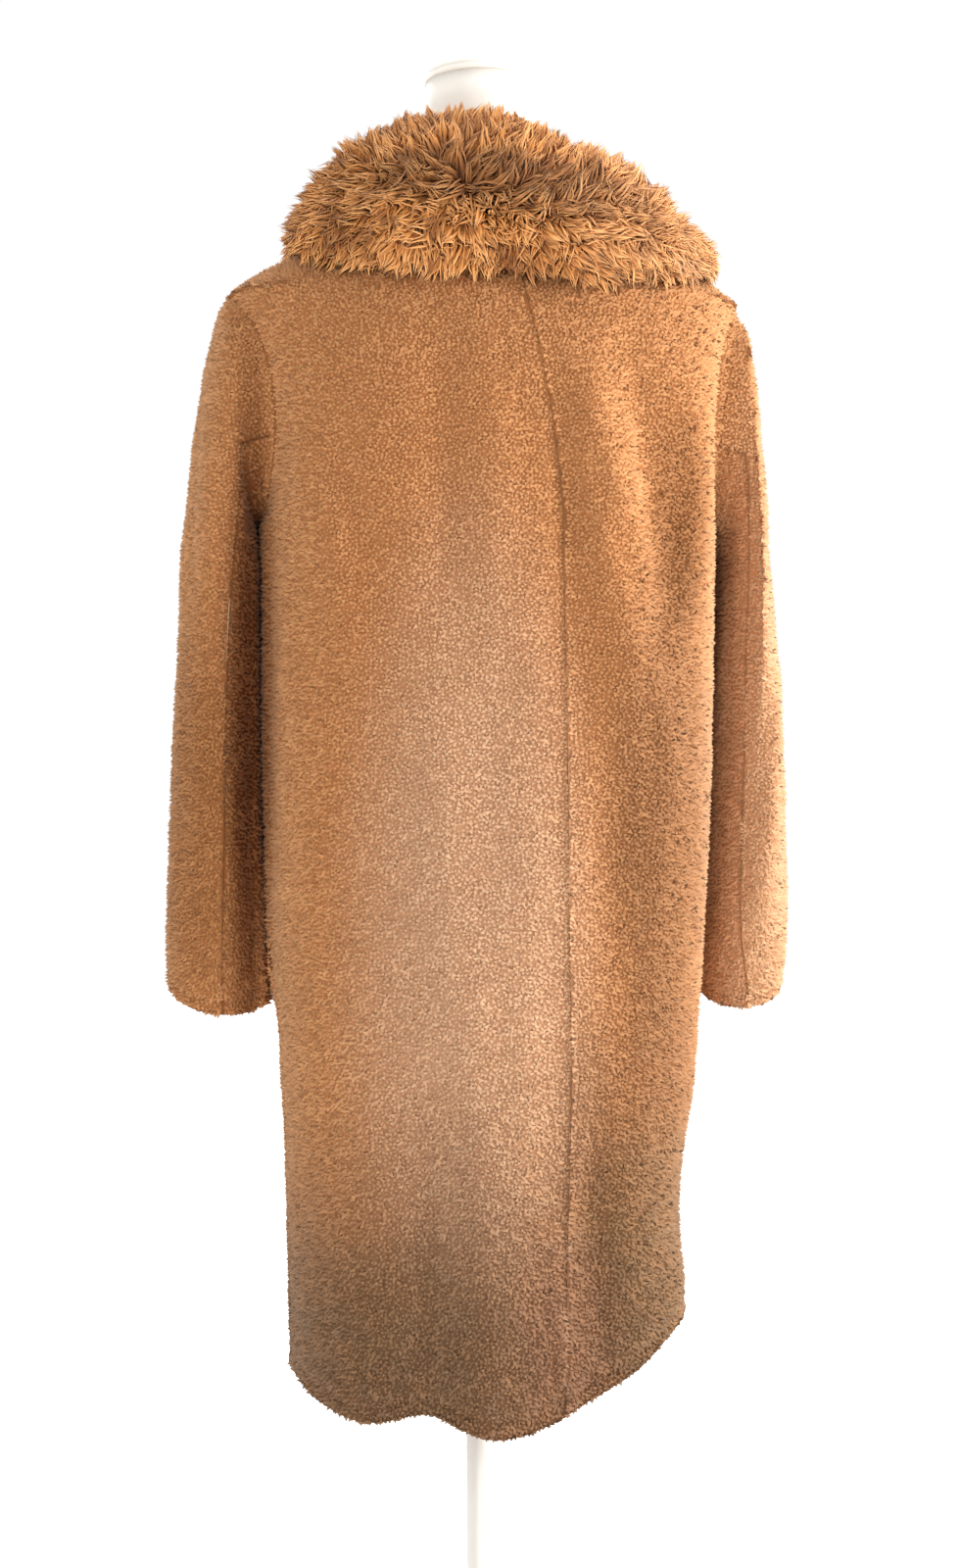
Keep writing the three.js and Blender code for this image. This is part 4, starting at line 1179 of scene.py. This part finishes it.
class COAT_OT_long_pile(bpy.types.Operator):
    """Plant the collar's long locks, which part across its back"""

    bl_idname = "coat.long_pile"
    bl_label = "Long pile"

    def execute(self, context):
        sizes = context.scene.coat_sizes
        strand = linked_object("lock_pattern", lock_mesh())
        cloth = bpy.data.objects["cloth_collar"]
        for seed, part in enumerate(COLLAR_PARTS, 21):
            values = {
                "Strand": strand,
                "Where": f"pile_{part}",
                "Spacing": sizes.lock_spacing,
                "Length": sizes.lock_length,
                "Finish": Coat.finishes["long"],
                "Seed": seed,
                **LOCK_STAND,
            }
            plant(f"locks_{part}", cloth, values, LOCK_SOFTNESS)
        settle(cloth, "collar")
        bpy.data.objects.remove(strand)
        return {"FINISHED"}


class COAT_OT_dress_form(bpy.types.Operator):
    """Make the dress form's smooth torso and its domed neck cap"""

    bl_idname = "coat.dress_form"
    bl_label = "Dress form"

    def execute(self, context):
        torso = cloth_piece("torso_shell", "form_torso", 1)
        set_finish(torso, Coat.finishes["form"])
        settle(torso, "form_torso")
        low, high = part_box("form_neck_cap")
        radius = (high.x - low.x) / 2
        centre = Vector(((low.x + high.x) / 2, (low.y + high.y) / 2, low.z))
        height = high.z - low.z
        rim = 5.2 * MM
        groove = 0.8 * MM
        rise = height - rim - groove
        turns = [math.radians(a) for a in range(0, 90, 6)]
        dome = [(radius * math.cos(a), rim + groove + rise * math.sin(a)) for a in turns]
        profile = [
            (0, 0),
            (radius - 1.2 * MM, 0),
            *arc((radius - 1.2 * MM, 1.2 * MM), 1.2 * MM, -60, 0, 3),
            (radius, rim - 0.4 * MM),
            (radius - groove, rim),
            *dome,
            (0, height),
        ]
        cap = turned_piece("neck_cap", profile, centre, 96, Coat.finishes["form"])
        settle(cap, "form_neck_cap")
        return {"FINISHED"}


class COAT_OT_stand(bpy.types.Operator):
    """Make the stand's turned pole and its round base"""

    bl_idname = "coat.stand"
    bl_label = "Stand"

    def execute(self, context):
        low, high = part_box("stand_pole")
        foot = high.x
        tube = 14 * MM
        shoulder = 40 * MM
        top = high.z - low.z
        profile = [
            (0, 0),
            (foot - MM, 0),
            (foot, MM),
            *arc((foot - 7 * MM, shoulder - 7 * MM), 7 * MM, 0, 78, 6),
            (tube + 0.8 * MM, shoulder + 0.4 * MM),
            (tube, shoulder + 2 * MM),
            (tube, top),
            (0, top),
        ]
        pole = turned_piece("pole_tube", profile, Vector((0, 0, low.z)), 72, Coat.finishes["enamel"])
        settle(pole, "stand_pole")
        low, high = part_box("stand_base")
        radius, height = high.x, high.z
        profile = [
            (0, 0),
            (radius - 2 * MM, 0),
            *arc((radius - 2 * MM, 2 * MM), 2 * MM, -60, 0, 3),
            *arc((radius - 3 * MM, 7 * MM), 3 * MM, 0, 84, 5),
            (60 * MM, height - 0.6 * MM),
            (50 * MM, height),
            (0, height),
        ]
        base = turned_piece("base_plate", profile, Vector((0, 0, 0)), 128, Coat.finishes["enamel"])
        settle(base, "stand_base")
        return {"FINISHED"}


class COAT_OT_studio(bpy.types.Operator):
    """Make the pale floor, the soft lights and the camera"""

    bl_idname = "coat.studio"
    bl_label = "Studio"

    def execute(self, context):
        mesh = bpy.data.meshes.new("floor")
        half = FLOOR_SIZE / 2
        corners = [(x * half, y * half, FLOOR_DROP) for x, y in ((-1, -1), (1, -1), (1, 1), (-1, 1))]
        mesh.from_pydata(corners, [], [(0, 1, 2, 3)])
        mesh.materials.append(floor_finish())
        floor = linked_object("floor", mesh)
        for row in LIGHTS:
            data = bpy.data.lights.new(row["name"], "AREA")
            data.shape = "DISK"
            data.size = row["size"]
            data.energy = row["power"]
            data.color = row["colour"]
            lamp = bpy.data.objects.new(row["name"], data)
            context.scene.collection.objects.link(lamp)
            lamp.location = row["at"]
            lamp.rotation_euler = (AIM - lamp.location).to_track_quat("-Z", "Y").to_euler()
        context.scene.world = studio_room()
        context.scene.view_settings.view_transform = "Standard"
        make_camera(context.scene)
        return {"FINISHED"}


def studio_room():
    """A room with a white backdrop on the coat's front side, a dimmer back and a bright ceiling."""
    world = bpy.data.worlds.new("bright room")
    world.use_nodes = True
    t = Tree(world.node_tree)
    way = t.add("ShaderNodeTexCoord").outputs["Generated"]
    xyz = t.add("ShaderNodeSeparateXYZ", None, {0: way})
    wall = t.ranged(xyz.outputs[1], *WALL_TURN, BACKDROP, ROOM)
    light = wall + t.ranged(xyz.outputs[2], *CEILING_TURN, 0.0, CEILING)
    background = t.add("ShaderNodeBackground", None, {"Color": (1.0, 1.0, 1.0, 1), "Strength": light})
    t.add("ShaderNodeOutputWorld", None, {0: background.outputs[0]})
    return world


def make_camera(scene):
    data = bpy.data.cameras.new("camera")
    data.sensor_width = SENSOR
    data.lens = SENSOR * FOCAL_PIXELS / PHOTO_HEIGHT
    data.clip_start, data.clip_end = 0.05, 60
    camera = bpy.data.objects.new("camera", data)
    scene.collection.objects.link(camera)
    behind = Vector((math.sin(VIEW_TURN), math.cos(VIEW_TURN), 0))
    rightward = Vector((-math.cos(VIEW_TURN), math.sin(VIEW_TURN), 0))
    camera.location = behind * VIEW_DISTANCE + Vector((0, 0, VIEW_HEIGHT))
    aim = -behind - rightward * (AXIS_PIXEL - PHOTO_WIDTH / 2) / FOCAL_PIXELS
    camera.rotation_euler = aim.to_track_quat("-Z", "Y").to_euler()
    scene.camera = camera


class COAT_PT_panel(bpy.types.Panel):
    """Lists the coat's operators and values"""

    bl_label = "Faux fur coat"
    bl_idname = "COAT_PT_panel"
    bl_space_type = "VIEW_3D"
    bl_region_type = "UI"
    bl_category = "Coat"

    def draw(self, context):
        for group in (context.scene.coat_sizes, context.scene.coat_colours):
            for key in group.__annotations__:
                self.layout.prop(group, key)
        for operator in OPERATORS:
            self.layout.operator(operator.bl_idname)


GROUPS = (CoatSizes, CoatColours)
OPERATORS = (
    COAT_OT_finishes,
    COAT_OT_cloth,
    COAT_OT_collar_cloth,
    COAT_OT_short_pile,
    COAT_OT_long_pile,
    COAT_OT_dress_form,
    COAT_OT_stand,
    COAT_OT_studio,
)


def register():
    for kind in (*GROUPS, *OPERATORS, COAT_PT_panel):
        bpy.utils.register_class(kind)
    bpy.types.Scene.coat_sizes = bpy.props.PointerProperty(type=CoatSizes)
    bpy.types.Scene.coat_colours = bpy.props.PointerProperty(type=CoatColours)


def unregister():
    del bpy.types.Scene.coat_colours
    del bpy.types.Scene.coat_sizes
    for kind in reversed((*GROUPS, *OPERATORS, COAT_PT_panel)):
        bpy.utils.unregister_class(kind)


def main():
    register()
    bpy.ops.coat.finishes()
    bpy.ops.coat.cloth()
    bpy.ops.coat.collar_cloth()
    bpy.ops.coat.short_pile()
    bpy.ops.coat.long_pile()
    bpy.ops.coat.dress_form()
    bpy.ops.coat.stand()
    bpy.ops.coat.studio()


if __name__ == "__main__":
    main()
